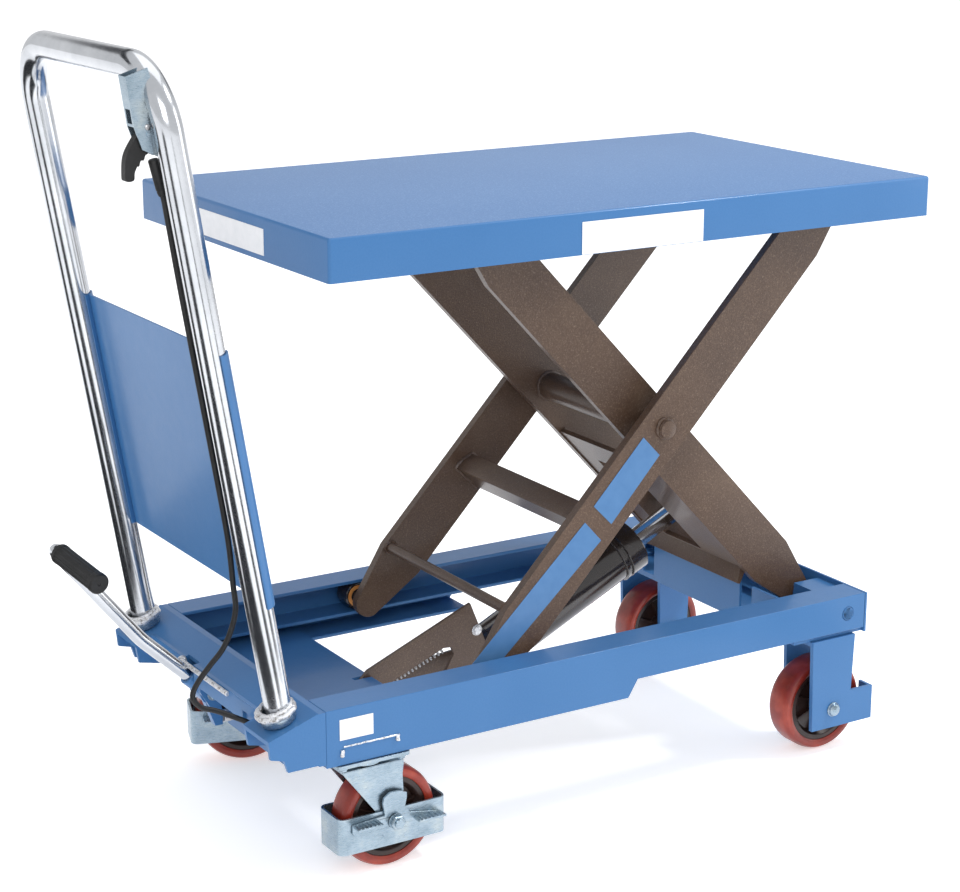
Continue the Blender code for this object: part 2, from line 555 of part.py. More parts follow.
PX, PZ = PEDAL_PIVOT
reach = math.atan2(0.0802, -0.0837)
aim = (math.cos(reach), math.sin(reach))
crank = rod("pedal_crank", (PX + 0.0320 * aim[0], PEDAL_Y, PZ + 0.0320 * aim[1]),
            (PX - 0.0060 * aim[0], PEDAL_Y, PZ - 0.0060 * aim[1]), 0.0122, 20)
join(
    crank,
    rod("crank_boss", (PX, PEDAL_Y - 0.0160, PZ), (PX, PEDAL_Y + 0.0160, PZ), 0.0150, 24, True),
    rod("crank_pin", (PX, PEDAL_Y - 0.0260, PZ), (PX, PEDAL_Y + 0.0260, PZ), 0.0060, 16, True),
    plate("crank_cam", [[
        (PX - 0.010, PZ), (PX + 0.012, PZ), (PX + 0.0190, 0.1340), (PX + 0.0190, 0.1150), (PX + 0.009, 0.1150),
    ]], "XZ", PEDAL_Y - 0.0060, PEDAL_Y + 0.0060, True),
)
cut(crank, rod("crank_socket", (PX + 0.0170 * aim[0], PEDAL_Y, PZ + 0.0170 * aim[1]),
               (PX + 0.0800 * aim[0], PEDAL_Y, PZ + 0.0800 * aim[1]), 0.0091, 20, True))
finish(crank, BLUE, 0.0, (PX, PEDAL_Y, PZ))
socket = (PX + 0.0180 * aim[0], PEDAL_Y, PZ + 0.0180 * aim[1])
knee = (PX + 0.1159 * aim[0], PEDAL_Y, PZ + 0.1159 * aim[1])
corner, hand = Vector((-0.6480, PEDAL_Y, 0.3830)), Vector((-0.6345, -0.0720, 0.3662))
pull = (hand - corner).normalized()
lower = rounded([socket, knee, tuple(corner)], 0.120, 4)
bar = lower[:-1] + rounded([lower[-2], tuple(corner), tuple(hand - 0.006 * pull)], 0.018, 6)[1:]
finish(tube("pedal_tube", bar, 0.0088, sides=2), CHROME)
grip = rod("pedal_grip", corner + 0.0250 * pull, hand, 0.0118, 24)
join(grip, *[
    rod(f"grip_rib_{i}", corner + (0.028 + 0.0115 * i) * pull, corner + (0.033 + 0.0115 * i) * pull, 0.0126, 24, True)
    for i in range(8)
])
cut(grip, rod("grip_bore", corner, hand - 0.0057 * pull, 0.0091, 20, True))
finish(grip, BLACK)

# ---------------------------------------------------------------- ram
RC, RS = math.cos(RAM_A), math.sin(RAM_A)


def on_ram(along, off=0.0, y=RAM_Y):
    """A point by its distance along the ram from the rod head and its height above the axis."""
    return (RAM_TIP[0] + along * RC - off * RS, y, RAM_TIP[1] + along * RS + off * RC)


FACE = -0.3555  # front wall of the cradle
HX, HZ = RAM_HINGE
band_top = [(-0.1044, 0.2286), (-0.1440, 0.2126), (-0.2560, 0.1660), (-0.2740, 0.1480), (-0.3350, 0.1345)]
cheek = [
    *band_top, *arc(HX, HZ, 0.0165, 100, 235, 8), (-0.2050, 0.1160), (-0.1300, 0.1240),
    on_ram(FACE, -0.0390)[::2], on_ram(FACE, 0.0300)[::2],
]
window = [(-0.2480, 0.1330), (-0.1450, 0.1750), (-0.1330, 0.1740), (-0.1290, 0.1640), (-0.1420, 0.1420), (-0.2150, 0.1290)]
low_cheek = [
    (-0.1000, 0.1450), (-0.2200, 0.1320), (-0.3350, 0.1300), *arc(HX, HZ, 0.0165, 100, 235, 8), (-0.2050, 0.1160),
    (-0.1300, 0.1180), on_ram(FACE, -0.0390)[::2], on_ram(FACE, -0.0040)[::2],
]
cradle = plate("ram_cradle", [cheek, window], "XZ", RAM_Y - 0.0300, RAM_Y - 0.0250)
join(
    cradle,
    plate("cradle_cheek", [low_cheek], "XZ", RAM_Y + 0.0250, RAM_Y + 0.0300, True),
    rod("cradle_boss", (HX, RAM_Y - 0.0330, HZ), (HX, RAM_Y + 0.0330, HZ), 0.0155, 24, True),
    plate("cradle_wall", [[on_ram(FACE, -0.0390)[::2], on_ram(FACE, 0.0500)[::2], on_ram(FACE - 0.008, 0.0500)[::2],
                           on_ram(FACE - 0.008, -0.0390)[::2]]], "XZ", RAM_Y - 0.0300, RAM_Y + 0.0300, True),
    rod("cradle_spring_post", (-0.2190, RAM_Y - 0.0290, 0.1250), (-0.2190, RAM_Y + 0.0290, 0.1250), 0.0045, 12, True),
)
cut(cradle, rod("cradle_bore", (HX, RAM_Y - 0.06, HZ), (HX, RAM_Y + 0.06, HZ), 0.0083, 20, True))
finish(cradle, BROWN)
pin = rod("ram_pin", (HX, RAM_Y - 0.0460, HZ), (HX, RAM_Y + 0.0460, HZ), 0.0080, 20)
finish(pin, STEEL)
barrel = rod("ram_barrel", on_ram(FACE + GAP), on_ram(-0.1100), BARREL_R - 0.0030, 40)
join(
    barrel,
    rod("barrel_gland", on_ram(-0.1200), on_ram(-0.0930), BARREL_R, 40, True),
    rod("barrel_collar", on_ram(-0.1300), on_ram(-0.1240), BARREL_R, 40, True),
    rod("barrel_foot", on_ram(FACE + GAP), on_ram(FACE + 0.014), BARREL_R, 40, True),
)
cut(barrel, rod("barrel_bore", on_ram(-0.3300), on_ram(-0.0500), ROD_R + 0.0005, 32, True))
finish(barrel, BLACK)
ram = rod("ram_rod", on_ram(-0.2500), on_ram(-0.0040), ROD_R, 32)
join(ram, rod("rod_eye", (RAM_TIP[0], RAM_Y - 0.0170, RAM_TIP[1]), (RAM_TIP[0], RAM_Y + 0.0170, RAM_TIP[1]), 0.0130, 28, True))
finish(ram, CHROME)

coil, turns, per = [], 11, 10
low_end, top_end = Vector((-0.2190, RAM_Y - 0.0080, 0.1350)), Vector((-0.1350, RAM_Y - 0.0080, 0.1660))
axis = (top_end - low_end).normalized()
side_a = Vector((0, 1, 0))
side_b = axis.cross(side_a)
for i in range(turns * per + 1):
    t = math.tau * i / per
    coil.append(tuple(low_end.lerp(top_end, i / (turns * per)) + 0.0058 * (math.cos(t) * side_a + math.sin(t) * side_b)))
finish(tube("cradle_spring", coil, 0.0011, sides=0), STEEL)

# ---------------------------------------------------------------- scissor arms
def arm(name, angle, y0, y1):
    """A flat arm, tapered to a round nose at each pivot."""
    h, half = ARM_W / 2, ARM_L / 2
    outline = [
        (-KINK, h), (KINK, h), *arc(half, 0, TIP_R, 62, -62, 8), (KINK, -h), (-KINK, -h),
        *arc(-half, 0, TIP_R, 242, 118, 8),
    ]
    return plate(name, [turned(outline, angle, CENTRE)], "XZ", y0, y1)


def along(angle, s, n):
    """World x, z of a point in the frame of an arm."""
    c, t = math.cos(angle), math.sin(angle)
    return (CENTRE[0] + c * s - t * n, CENTRE[1] + t * s + c * n)


OUTER, INNER = ARM_A, -ARM_A
for tag, side in SIDES:
    outer = arm(f"outer_arm_{tag}", OUTER, *span(side, OUT_Y, OUT_Y + ARM_T))
    join(outer, rod(f"outer_pin_{tag}", (ROLL_X, side * (OUT_Y + 0.002), PIVOT_Z), (ROLL_X, side * 0.2085, PIVOT_Z), 0.0070, 16, True))
    cut(
        outer,
        rod(f"outer_bore_{tag}", (CENTRE[0], side * 0.13, CENTRE[1]), (CENTRE[0], side * 0.17, CENTRE[1]), SHAFT_R + GAP, 24, True),
        rod(f"outer_eye_{tag}", (PIVOT_X, side * 0.13, HIGH_Z), (PIVOT_X, side * 0.17, HIGH_Z), SHAFT_R + GAP, 24, True),
    )
    finish(outer, BROWN)
    inner = arm(f"inner_arm_{tag}", INNER, *span(side, IN_Y, IN_Y + ARM_T))
    join(inner, rod(f"inner_pin_{tag}", (ROLL_X, side * (IN_Y + 0.002), HIGH_Z), (ROLL_X, side * 0.1412, HIGH_Z), 0.0070, 16, True))
    cut(
        inner,
        rod(f"inner_bore_{tag}", (CENTRE[0], side * 0.09, CENTRE[1]), (CENTRE[0], side * 0.13, CENTRE[1]), SHAFT_R + GAP, 24, True),
        rod(f"inner_eye_{tag}", (PIVOT_X, side * 0.09, PIVOT_Z), (PIVOT_X, side * 0.13, PIVOT_Z), SHAFT_R + GAP, 24, True),
    )
    finish(inner, BROWN)
    for where, x, z, y0, y1 in (("base", ROLL_X, PIVOT_Z, 0.1790, 0.2060), ("table", ROLL_X, HIGH_Z, 0.1202, 0.1405)):
        roller = ring(f"{where}_roller_{tag}", [
            (0.0073, 0.0), (ROLLER_R - 0.0012, 0.0), (ROLLER_R, 0.0012), (ROLLER_R, y1 - y0 - 0.0012),
            (ROLLER_R - 0.0012, y1 - y0), (0.0073, y1 - y0),
        ], (x, min(side * y0, side * y1), z), 36)
        finish(roller, BLACK)

OUT_IN = OUT_Y - GAP
channel = [along(OUTER, s, n) for s, n in (
    (-0.163, -0.030), (-0.133, -0.030), (-0.133, 0.0100), (-0.150, 0.0170), (-0.163, 0.0170))]
hollow = [along(OUTER, s, n) for s, n in (
    (-0.158, -0.031), (-0.138, -0.031), (-0.138, 0.0062), (-0.151, 0.0120), (-0.158, 0.0120))]
cross = plate("cross_channel", [channel], "XZ", -OUT_IN, OUT_IN)
cut(cross, plate("channel_hollow", [hollow], "XZ", -OUT_IN + 0.006, OUT_IN - 0.006, True))
finish(cross, BROWN)
cx, cz = along(OUTER, -0.302, 0.0260)
finish(rod("cross_bar", (cx, -OUT_IN, cz), (cx, OUT_IN, cz), 0.0070, 16), BROWN)

hub_tube = ring("centre_tube", [
    (SHAFT_R + GAP, -IN_Y + GAP), (0.0185, -IN_Y + GAP), (0.0185, IN_Y - GAP), (SHAFT_R + GAP, IN_Y - GAP),
], (CENTRE[0], 0, CENTRE[1]), 28)
finish(hub_tube, BROWN)
centre = rod("centre_shaft", (CENTRE[0], -0.1600, CENTRE[1]), (CENTRE[0], 0.1600, CENTRE[1]), SHAFT_R, 24)
join(centre, *[
    rod(f"centre_head_{tag}", (CENTRE[0], side * (OUT_Y + ARM_T + GAP), CENTRE[1]), (CENTRE[0], side * 0.1640, CENTRE[1]), 0.0125, 12, True)
    for tag, side in SIDES
])
finish(centre, BROWN)

IN_IN = IN_Y - GAP
frame_plate = [along(INNER, s, n) for s, n in (
    (0.060, -0.0330), (0.2800, -0.0330), (0.2930, -0.0519), (0.2972, -0.0493), (0.2885, -0.0270), (0.060, -0.0270))]
torsion = plate("torsion_frame", [frame_plate], "XZ", -IN_IN, IN_IN)
opening = [along(INNER, s, n) for s, n in ((0.108, -0.050), (0.276, -0.050), (0.276, 0.010), (0.108, 0.010))]
side_lug = [along(INNER, s, n) for s, n in ((0.196, -0.032), (0.292, -0.032), (0.280, 0.0246), (0.200, 0.0246))]
pad = [along(INNER, s, n) for s, n in ((0.203, 0.0148), (0.277, 0.0148), (0.277, 0.0230), (0.203, 0.0230))]
cut(torsion, plate("torsion_opening", [opening], "XZ", RAM_Y - 0.0420, RAM_Y + 0.0420, True))
join(
    torsion,
    plate("torsion_lug_a", [side_lug], "XZ", RAM_Y - 0.0480, RAM_Y - 0.0415, True),
    plate("torsion_lug_b", [side_lug], "XZ", RAM_Y + 0.0415, RAM_Y + 0.0480, True),
    plate("torsion_pad", [pad], "XZ", RAM_Y - 0.0470, RAM_Y + 0.0470, True),
)
finish(torsion, BROWN)

# ---------------------------------------------------------------- table
HL, HW = TABLE_L / 2, TABLE_W / 2
TRACK_LOW = TABLE_TOP - SKIRT
top = box("table_top", (-HL, HL), (-HW, HW), (TABLE_TOP - SKIRT, TABLE_TOP))
cut(top, box("table_hollow", (-HL + 0.003, HL - 0.003), (-HW + 0.003, HW - 0.003), (0.70, TABLE_TOP - SHEET), True))
for tag, side in SIDES:
    ear = [(PIVOT_X - 0.024, TABLE_TOP - SHEET + 0.001), (PIVOT_X - 0.020, HIGH_Z - 0.010),
           *arc(PIVOT_X, HIGH_Z, 0.0180, 215, 325, 8), (PIVOT_X + 0.020, HIGH_Z - 0.010), (PIVOT_X + 0.024, TABLE_TOP - SHEET + 0.001)]
    join(top, plate(f"table_lug_{tag}", [ear], "XZ", *span(side, 0.1610, 0.1670), True))
    cut(top, rod(f"table_lug_bore_{tag}", (PIVOT_X, side * 0.15, HIGH_Z), (PIVOT_X, side * 0.18, HIGH_Z), SHAFT_R + GAP, 24, True))
    track_x, lip_y = (-0.4100, 0.0100), span(side, 0.1200, 0.1430)
    track = box(f"table_track_{tag}", track_x, span(side, 0.1425, 0.1455), (TRACK_LOW, TABLE_TOP - SHEET - GAP))
    join(
        track,
        box(f"track_top_{tag}", track_x, lip_y, (HIGH_Z + TRACK_HALF, TABLE_TOP - SHEET - GAP), True),
        box(f"track_lip_{tag}", track_x, lip_y, (TRACK_LOW, HIGH_Z - TRACK_HALF), True),
    )
    finish(track, BLUE)
finish(top, BLUE)
upper = rod("table_shaft", (PIVOT_X, -0.1690, HIGH_Z), (PIVOT_X, 0.1690, HIGH_Z), SHAFT_R, 24)
finish(upper, STEEL)
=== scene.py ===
"""Looks of the scissor lift table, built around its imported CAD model.

Lengths are in metres, in the frame of the CAD model. Heights and distances along the cart are
measured from the middle of the table top (x) and from the floor (z); X0 is where that middle is.
"""

import json
import math

import bmesh
import bpy
from mathutils import Matrix, Vector, noise


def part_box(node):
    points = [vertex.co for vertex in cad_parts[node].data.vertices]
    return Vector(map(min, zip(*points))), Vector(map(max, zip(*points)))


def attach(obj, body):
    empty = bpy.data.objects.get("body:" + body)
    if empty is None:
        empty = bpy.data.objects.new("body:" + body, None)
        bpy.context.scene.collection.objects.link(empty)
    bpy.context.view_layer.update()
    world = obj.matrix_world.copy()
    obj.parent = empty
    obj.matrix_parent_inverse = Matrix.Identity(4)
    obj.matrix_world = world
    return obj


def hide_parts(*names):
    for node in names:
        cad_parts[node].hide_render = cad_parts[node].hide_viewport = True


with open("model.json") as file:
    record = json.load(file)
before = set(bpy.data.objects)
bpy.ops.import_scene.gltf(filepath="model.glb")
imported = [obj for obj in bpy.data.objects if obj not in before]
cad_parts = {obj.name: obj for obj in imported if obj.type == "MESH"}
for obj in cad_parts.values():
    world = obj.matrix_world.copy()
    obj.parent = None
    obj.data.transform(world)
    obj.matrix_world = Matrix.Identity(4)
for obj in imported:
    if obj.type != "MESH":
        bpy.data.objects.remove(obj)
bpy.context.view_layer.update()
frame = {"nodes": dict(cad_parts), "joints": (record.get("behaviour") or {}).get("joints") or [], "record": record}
NODES = frame["nodes"]
JOINTS = {joint["name"]: joint for joint in frame["joints"]}

table_low, table_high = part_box("table_top")
X0 = (table_low.x + table_high.x) / 2
TABLE_TOP = table_high.z
HALF_L, HALF_W = (table_high.x - table_low.x) / 2, table_high.y
SKIRT = 0.050
GAP = 0.0003

LIFT = Vector(JOINTS["lift"]["pos_m"]) - Vector((X0, 0, 0))
CENTRE = Vector(JOINTS["scissor"]["pos_m"]) - Vector((X0, 0, 0))
UPPER = Vector(JOINTS["table_level"]["pos_m"]) - Vector((X0, 0, 0))
ARM_ANGLE = math.atan2(CENTRE.z - LIFT.z, LIFT.x - CENTRE.x)
ARM_T = 0.012
OUTER_Y, INNER_Y = 0.1465, 0.1060
SIDES = (("near", -1), ("far", 1))


# ---------------------------------------------------------------- camera, light and floor
def add_camera():
    data = bpy.data.cameras.new("camera")
    data.lens = 86.0
    data.sensor_width = 36.0
    data.clip_end = 50
    camera = bpy.data.objects.new("camera", data)
    camera.location = (X0 - 1.5570, -2.4060, 1.2074)
    azimuth, elevation = math.radians(-31.48), math.radians(15.33)
    camera.rotation_euler = (math.pi / 2 - elevation, 0.0, azimuth)
    bpy.context.scene.collection.objects.link(camera)
    bpy.context.scene.camera = camera


def add_lamp(name, place, target, size, power, colour=(1, 1, 1)):
    data = bpy.data.lights.new(name, "AREA")
    data.shape = "RECTANGLE"
    data.size, data.size_y = size
    data.energy = power
    data.color = colour
    lamp = bpy.data.objects.new(name, data)
    lamp.location = place
    lamp.rotation_mode = "QUATERNION"
    lamp.rotation_quaternion = (Vector(place) - Vector(target)).to_track_quat("Z", "Y")
    bpy.context.scene.collection.objects.link(lamp)


def add_studio():
    world = bpy.data.worlds.new("studio")
    world.use_nodes = True
    nodes, links = world.node_tree.nodes, world.node_tree.links
    around = nodes["Background"]
    around.inputs["Color"].default_value = (0.98, 0.985, 1.0, 1)
    around.inputs["Strength"].default_value = 0.80
    behind = nodes.new("ShaderNodeBackground")
    behind.inputs["Strength"].default_value = 1.15
    either = nodes.new("ShaderNodeMixShader")
    links.new(nodes.new("ShaderNodeLightPath").outputs["Is Camera Ray"], either.inputs["Fac"])
    links.new(around.outputs["Background"], either.inputs[1])
    links.new(behind.outputs["Background"], either.inputs[2])
    links.new(either.outputs["Shader"], nodes["World Output"].inputs["Surface"])
    bpy.context.scene.world = world
    add_lamp("key", (X0 - 1.75, -2.55, 1.95), (X0, 0, 0.3), (1.4, 1.4), 22)
    add_lamp("top", (0.4, 0.5, 3.2), (0.1, 0, 0.5), (2.4, 2.4), 16)
    add_lamp("edge", (X0 + 1.8, -1.0, 3.0), (X0, -0.2, 0.3), (0.45, 0.45), 55)
    add_lamp("side", (3.0, -1.6, 1.5), (0.1, 0, 0.4), (1.2, 2.0), 16)
    scene = bpy.context.scene
    scene.view_settings.view_transform = "Standard"

    bpy.ops.mesh.primitive_plane_add(size=30, location=(0, 0, -0.0005))
    floor = bpy.context.object
    floor.name = "floor"
    made = bpy.data.materials.new("floor")
    made.use_nodes = True
    shader = made.node_tree.nodes["Principled BSDF"]
    shader.inputs["Base Color"].default_value = (0.90, 0.90, 0.91, 1)
    shader.inputs["Roughness"].default_value = 0.9
    shader.inputs["Emission Color"].default_value = (1, 1, 1, 1)
    shader.inputs["Emission Strength"].default_value = 0.48
    floor.data.materials.append(made)
    for turn, width in ((200, 0.8), (250, 0.35), (300, 0.55), (150, 0.9), (20, 0.7)):
        t = math.radians(turn)
        add_flag(f"flag_{turn}", (X0 + 2.6 * math.cos(t), 2.6 * math.sin(t), 0.001), (3.6, width), (0, 0, t))
    bar = Vector((X0 - 0.6, 0, 0.95))
    for i, (place, size) in enumerate((((X0 - 1.2, 2.6, 2.5), (3.6, 0.8)), ((X0 + 2.2, 1.6, 2.0), (1.2, 0.5)))):
        aim = (bar - Vector(place)).to_track_quat("Z", "Y").to_euler()
        add_flag(f"flag_back_{i}", place, size, aim)


def add_flag(name, place, size, turn):
    """A dark card out of sight, seen only in glossy reflections."""
    bpy.ops.mesh.primitive_plane_add(size=1, location=place)
    flag = bpy.context.object
    flag.name = name
    flag.scale = (*size, 1)
    flag.rotation_euler = turn
    for ray in ("camera", "diffuse", "shadow", "transmission"):
        setattr(flag, f"visible_{ray}", False)
    made = bpy.data.materials.get("flag") or bpy.data.materials.new("flag")
    made.use_nodes = True
    made.node_tree.nodes["Principled BSDF"].inputs["Base Color"].default_value = (0.035, 0.036, 0.040, 1)
    made.node_tree.nodes["Principled BSDF"].inputs["Specular IOR Level"].default_value = 0.0
    flag.data.materials.append(made)


# ---------------------------------------------------------------- materials
class Surface:
    """A material whose colour, roughness and bump come from layered noise in object space."""

    def __init__(self, name, metallic=0.0, roughness=0.4, coat=0.0):
        self.material = bpy.data.materials.new(name)
        self.material.use_nodes = True
        self.tree = self.material.node_tree
        self.shader = self.tree.nodes["Principled BSDF"]
        self.shader.inputs["Metallic"].default_value = metallic
        self.shader.inputs["Roughness"].default_value = roughness
        self.shader.inputs["Coat Weight"].default_value = coat
        self.shader.inputs["Coat Roughness"].default_value = 0.12
        self.place = self.tree.nodes.new("ShaderNodeTexCoord").outputs["Object"]
        self.bump = None

    def node(self, kind, **inputs):
        made = self.tree.nodes.new(kind)
        for key, value in inputs.items():
            socket = made.inputs[key]
            if isinstance(value, bpy.types.NodeSocket):
                self.tree.links.new(value, socket)
            else:
                socket.default_value = value
        return made

    def noise(self, scale, detail=3.0, rough=0.55, stretch=None):
        place = self.place
        if stretch:
            place = self.node("ShaderNodeMapping", Vector=place, Scale=stretch).outputs["Vector"]
        made = self.node("ShaderNodeTexNoise", Vector=place, Scale=scale, Detail=detail, Roughness=rough)
        return made.outputs["Fac"]

    def ramp(self, source, *stops):
        """Maps a value through (position, colour or number) stops."""
        made = self.tree.nodes.new("ShaderNodeValToRGB")
        self.tree.links.new(source, made.inputs["Fac"])
        points = made.color_ramp.elements
        while len(points) < len(stops):
            points.new(0.5)
        for point, (position, value) in zip(points, stops):
            point.position = position
            point.color = (*value, 1) if isinstance(value, tuple) else (value, value, value, 1)
        return made.outputs["Color"]

    def mix(self, share, a, b, how="MIX"):
        made = self.tree.nodes.new("ShaderNodeMix")
        made.data_type = "RGBA"
        made.blend_type = how
        for socket, value in ((made.inputs["Factor"], share), (made.inputs[6], a), (made.inputs[7], b)):
            if isinstance(value, bpy.types.NodeSocket):
                self.tree.links.new(value, socket)
            else:
                socket.default_value = (*value, 1) if isinstance(value, tuple) else value
        return made.outputs[2]

    def colour(self, source):
        self.tree.links.new(source, self.shader.inputs["Base Color"])

    def rough(self, source, low, high):
        made = self.node("ShaderNodeMapRange", Value=source)
        made.inputs["To Min"].default_value = low
        made.inputs["To Max"].default_value = high
        self.tree.links.new(made.outputs["Result"], self.shader.inputs["Roughness"])

    def relief(self, source, distance, strength=1.0):
        """Adds a bump of a height in metres on top of the ones before it."""
        made = self.node("ShaderNodeBump", Height=source, Strength=strength, Distance=distance)
        if self.bump:
            self.tree.links.new(self.bump, made.inputs["Normal"])
        self.bump = made.outputs["Normal"]
        self.tree.links.new(self.bump, self.shader.inputs["Normal"])


def blue_paint():
    """Semi-gloss powder coat: faint orange peel, slight tone drift."""
    made = Surface("blue_paint", roughness=0.34, coat=0.2)
    made.shader.inputs["Specular IOR Level"].default_value = 0.22
    peel = made.noise(420, 2.0, 0.5)
    drift = made.noise(6, 2.0)
    tone = made.ramp(drift, (0.30, (0.044, 0.152, 0.352)), (0.70, (0.052, 0.166, 0.374)))
    grain = made.ramp(peel, (0.35, (0.036, 0.136, 0.33)), (0.65, (0.072, 0.196, 0.42)))
    made.colour(made.mix(0.10, tone, grain))
    made.rough(made.noise(60, 3.0), 0.30, 0.42)
    made.relief(peel, 0.00025, 0.35)
    return made.material


def table_paint():
    """Hammered blue: pale speckles a millimetre or two across."""
    made = Surface("table_paint", roughness=0.40)
    speck = made.noise(420, 3.0, 0.6)
    tone = made.ramp(
        speck, (0.38, (0.050, 0.145, 0.330)), (0.54, (0.078, 0.180, 0.375)), (0.66, (0.19, 0.31, 0.51)))
    drift = made.ramp(made.noise(3, 3.0), (0.35, (0.064, 0.160, 0.36)), (0.65, (0.090, 0.195, 0.40)))
    made.colour(made.mix(0.35, tone, drift))
    made.rough(speck, 0.34, 0.55)
    made.relief(speck, 0.0005, 0.45)
    return made.material


def brown_coat():
    """Dark brown powder coat with a fine pebble grain, painted darker in its dips and with pale painted glints on
    its peaks.
    """
    made = Surface("brown_coat", roughness=0.42, coat=0.15)
    grain = made.noise(520, 4.0, 0.65)
    cloud = made.noise(9, 4.0)
    tone = made.ramp(
        cloud, (0.30, (0.074, 0.040, 0.024)), (0.55, (0.106, 0.060, 0.035)), (0.75, (0.152, 0.094, 0.056)))
    # Painted shade and painted highlight: the pebble grain is darker where it dips and pale where it peaks, as
    # light would fall on it.
    painted_grain_light = made.ramp(
        grain, (0.40, (0.045, 0.025, 0.017)), (0.60, (0.115, 0.073, 0.050)), (0.76, (0.36, 0.28, 0.21)))
    made.colour(made.mix(0.45, tone, painted_grain_light))
    made.rough(grain, 0.30, 0.56)
    made.relief(grain, 0.0006, 0.5)
    return made.material


def chrome():
    made = Surface("chrome", metallic=1.0, roughness=0.08)
    haze = made.noise(18, 4.0)
    made.colour(made.ramp(haze, (0.3, (0.52, 0.54, 0.57)), (0.7, (0.68, 0.70, 0.73))))
    made.rough(made.noise(110, 5.0, 0.7), 0.10, 0.24)
    return made.material


def zinc():
    """Bright zinc plate over rolled steel: bluish, with faint yellow bloom and rolling marks."""
    made = Surface("zinc", metallic=0.9, roughness=0.30)
    bloom = made.noise(28, 4.0, 0.6)
    tone = made.ramp(bloom, (0.30, (0.20, 0.28, 0.34)), (0.52, (0.31, 0.40, 0.47)), (0.72, (0.48, 0.53, 0.52)))
    streak = made.noise(160, 3.0, 0.6, (1.0, 1.0, 7.0))
    made.colour(made.mix(0.22, tone, made.ramp(streak, (0.35, (0.24, 0.31, 0.37)), (0.65, (0.66, 0.73, 0.78)))))
    made.rough(streak, 0.18, 0.40)
    made.relief(made.noise(240, 3.0), 0.00025, 0.4)
    return made.material


def bare_steel():
    made = Surface("bare_steel", metallic=1.0, roughness=0.28)
    turned = made.noise(900, 2.0, 0.5, (0.15, 1.0, 0.15))
    made.colour(made.ramp(turned, (0.3, (0.36, 0.36, 0.37)), (0.7, (0.62, 0.62, 0.63))))
    made.rough(turned, 0.20, 0.42)
    return made.material


def red_tyre():
    """Cast polyurethane: slightly clouded, with darker scuffs on the tread."""
    made = Surface("red_tyre", roughness=0.32, coat=0.15)
    cloud = made.noise(22, 4.0, 0.6)
    tone = made.ramp(
        cloud, (0.28, (0.130, 0.012, 0.007)), (0.52, (0.260, 0.024, 0.012)), (0.75, (0.42, 0.055, 0.025)))
    scuff = made.ramp(made.noise(130, 5.0, 0.75), (0.56, 0.0), (0.72, 1.0))
    made.colour(made.mix(made.mix(0.75, scuff, (0.0, 0.0, 0.0)), tone, (0.12, 0.016, 0.012)))
    made.rough(cloud, 0.24, 0.46)
    made.relief(made.noise(260, 3.0), 0.0003, 0.3)
    return made.material


def dark_hub():
    made = Surface("dark_hub", roughness=0.30)
    cloud = made.noise(45, 4.0)
    made.colour(made.ramp(cloud, (0.3, (0.012, 0.006, 0.005)), (0.7, (0.036, 0.016, 0.012))))
    made.rough(made.noise(200, 3.0), 0.26, 0.50)
    made.relief(made.noise(420, 2.0), 0.0002, 0.35)
    return made.material


def black_rubber():
    made = Surface("black_rubber", roughness=0.55)
    grain = made.noise(800, 3.0, 0.6)
    made.colour(made.ramp(made.noise(40, 4.0), (0.3, (0.003, 0.003, 0.003)), (0.7, (0.011, 0.011, 0.012))))
    made.rough(grain, 0.42, 0.66)
    made.relief(grain, 0.0003, 0.4)
    return made.material


def gloss_black():
    """Black enamel on the ram, thin enough to keep the tool marks under it."""
    made = Surface("gloss_black", roughness=0.16, coat=0.6)
    cloud = made.noise(14, 4.0)
    made.colour(made.ramp(cloud, (0.3, (0.012, 0.009, 0.008)), (0.7, (0.034, 0.026, 0.024))))
    made.rough(made.noise(120, 4.0), 0.10, 0.28)
    made.relief(made.noise(300, 2.0), 0.0002, 0.35)
    return made.material


def weld_metal():
    """Galvanised weld: bright, lumpy silver with darker pits."""
    made = Surface("weld_metal", metallic=0.7, roughness=0.30)
    lumps = made.noise(320, 4.0, 0.65)
    made.colour(made.ramp(
        lumps, (0.34, (0.30, 0.27, 0.24)), (0.48, (0.72, 0.73, 0.75)), (0.70, (0.93, 0.94, 0.96))))
    made.rough(lumps, 0.16, 0.5)
    made.relief(lumps, 0.0015, 0.8)
    return made.material


def film(name, low, high, roughness=0.30):
    """Printed sticker film without any print: a clean colour with faint mottling."""
    made = Surface(name, roughness=roughness)
    cloud = made.noise(70, 4.0)
    made.colour(made.ramp(cloud, (0.3, low), (0.7, high)))
    made.rough(made.noise(300, 3.0), roughness - 0.06, roughness + 0.10)
    made.relief(made.noise(500, 2.0), 0.0001, 0.2)
    return made.material


BLUE, TABLE, BROWN, CHROME, ZINC = blue_paint(), table_paint(), brown_coat(), chrome(), zinc()
STEEL, RED, HUB, RUBBER, GLOSS = bare_steel(), red_tyre(), dark_hub(), black_rubber(), gloss_black()
WHITE_FILM = film("white_film", (0.80, 0.81, 0.82), (0.87, 0.87, 0.88))
BLUE_FILM = film("blue_film", (0.068, 0.185, 0.39), (0.082, 0.208, 0.42), 0.30)
WELD = weld_metal()
BRASS = film("brass", (0.55, 0.20, 0.05), (0.70, 0.30, 0.08), 0.35)
SLOTS = {
    "blue_paint": BLUE, "brown_coat": BROWN, "zinc": ZINC, "chrome": CHROME, "bright_steel": STEEL,
    "red_tyre": RED, "dark_hub": HUB, "black_rubber": RUBBER, "black_steel": GLOSS,
}


# ---------------------------------------------------------------- shapes
def set_shading(mesh, angle=35):
    mesh.shade_smooth()
    mesh.set_sharp_from_angle(angle=math.radians(angle))


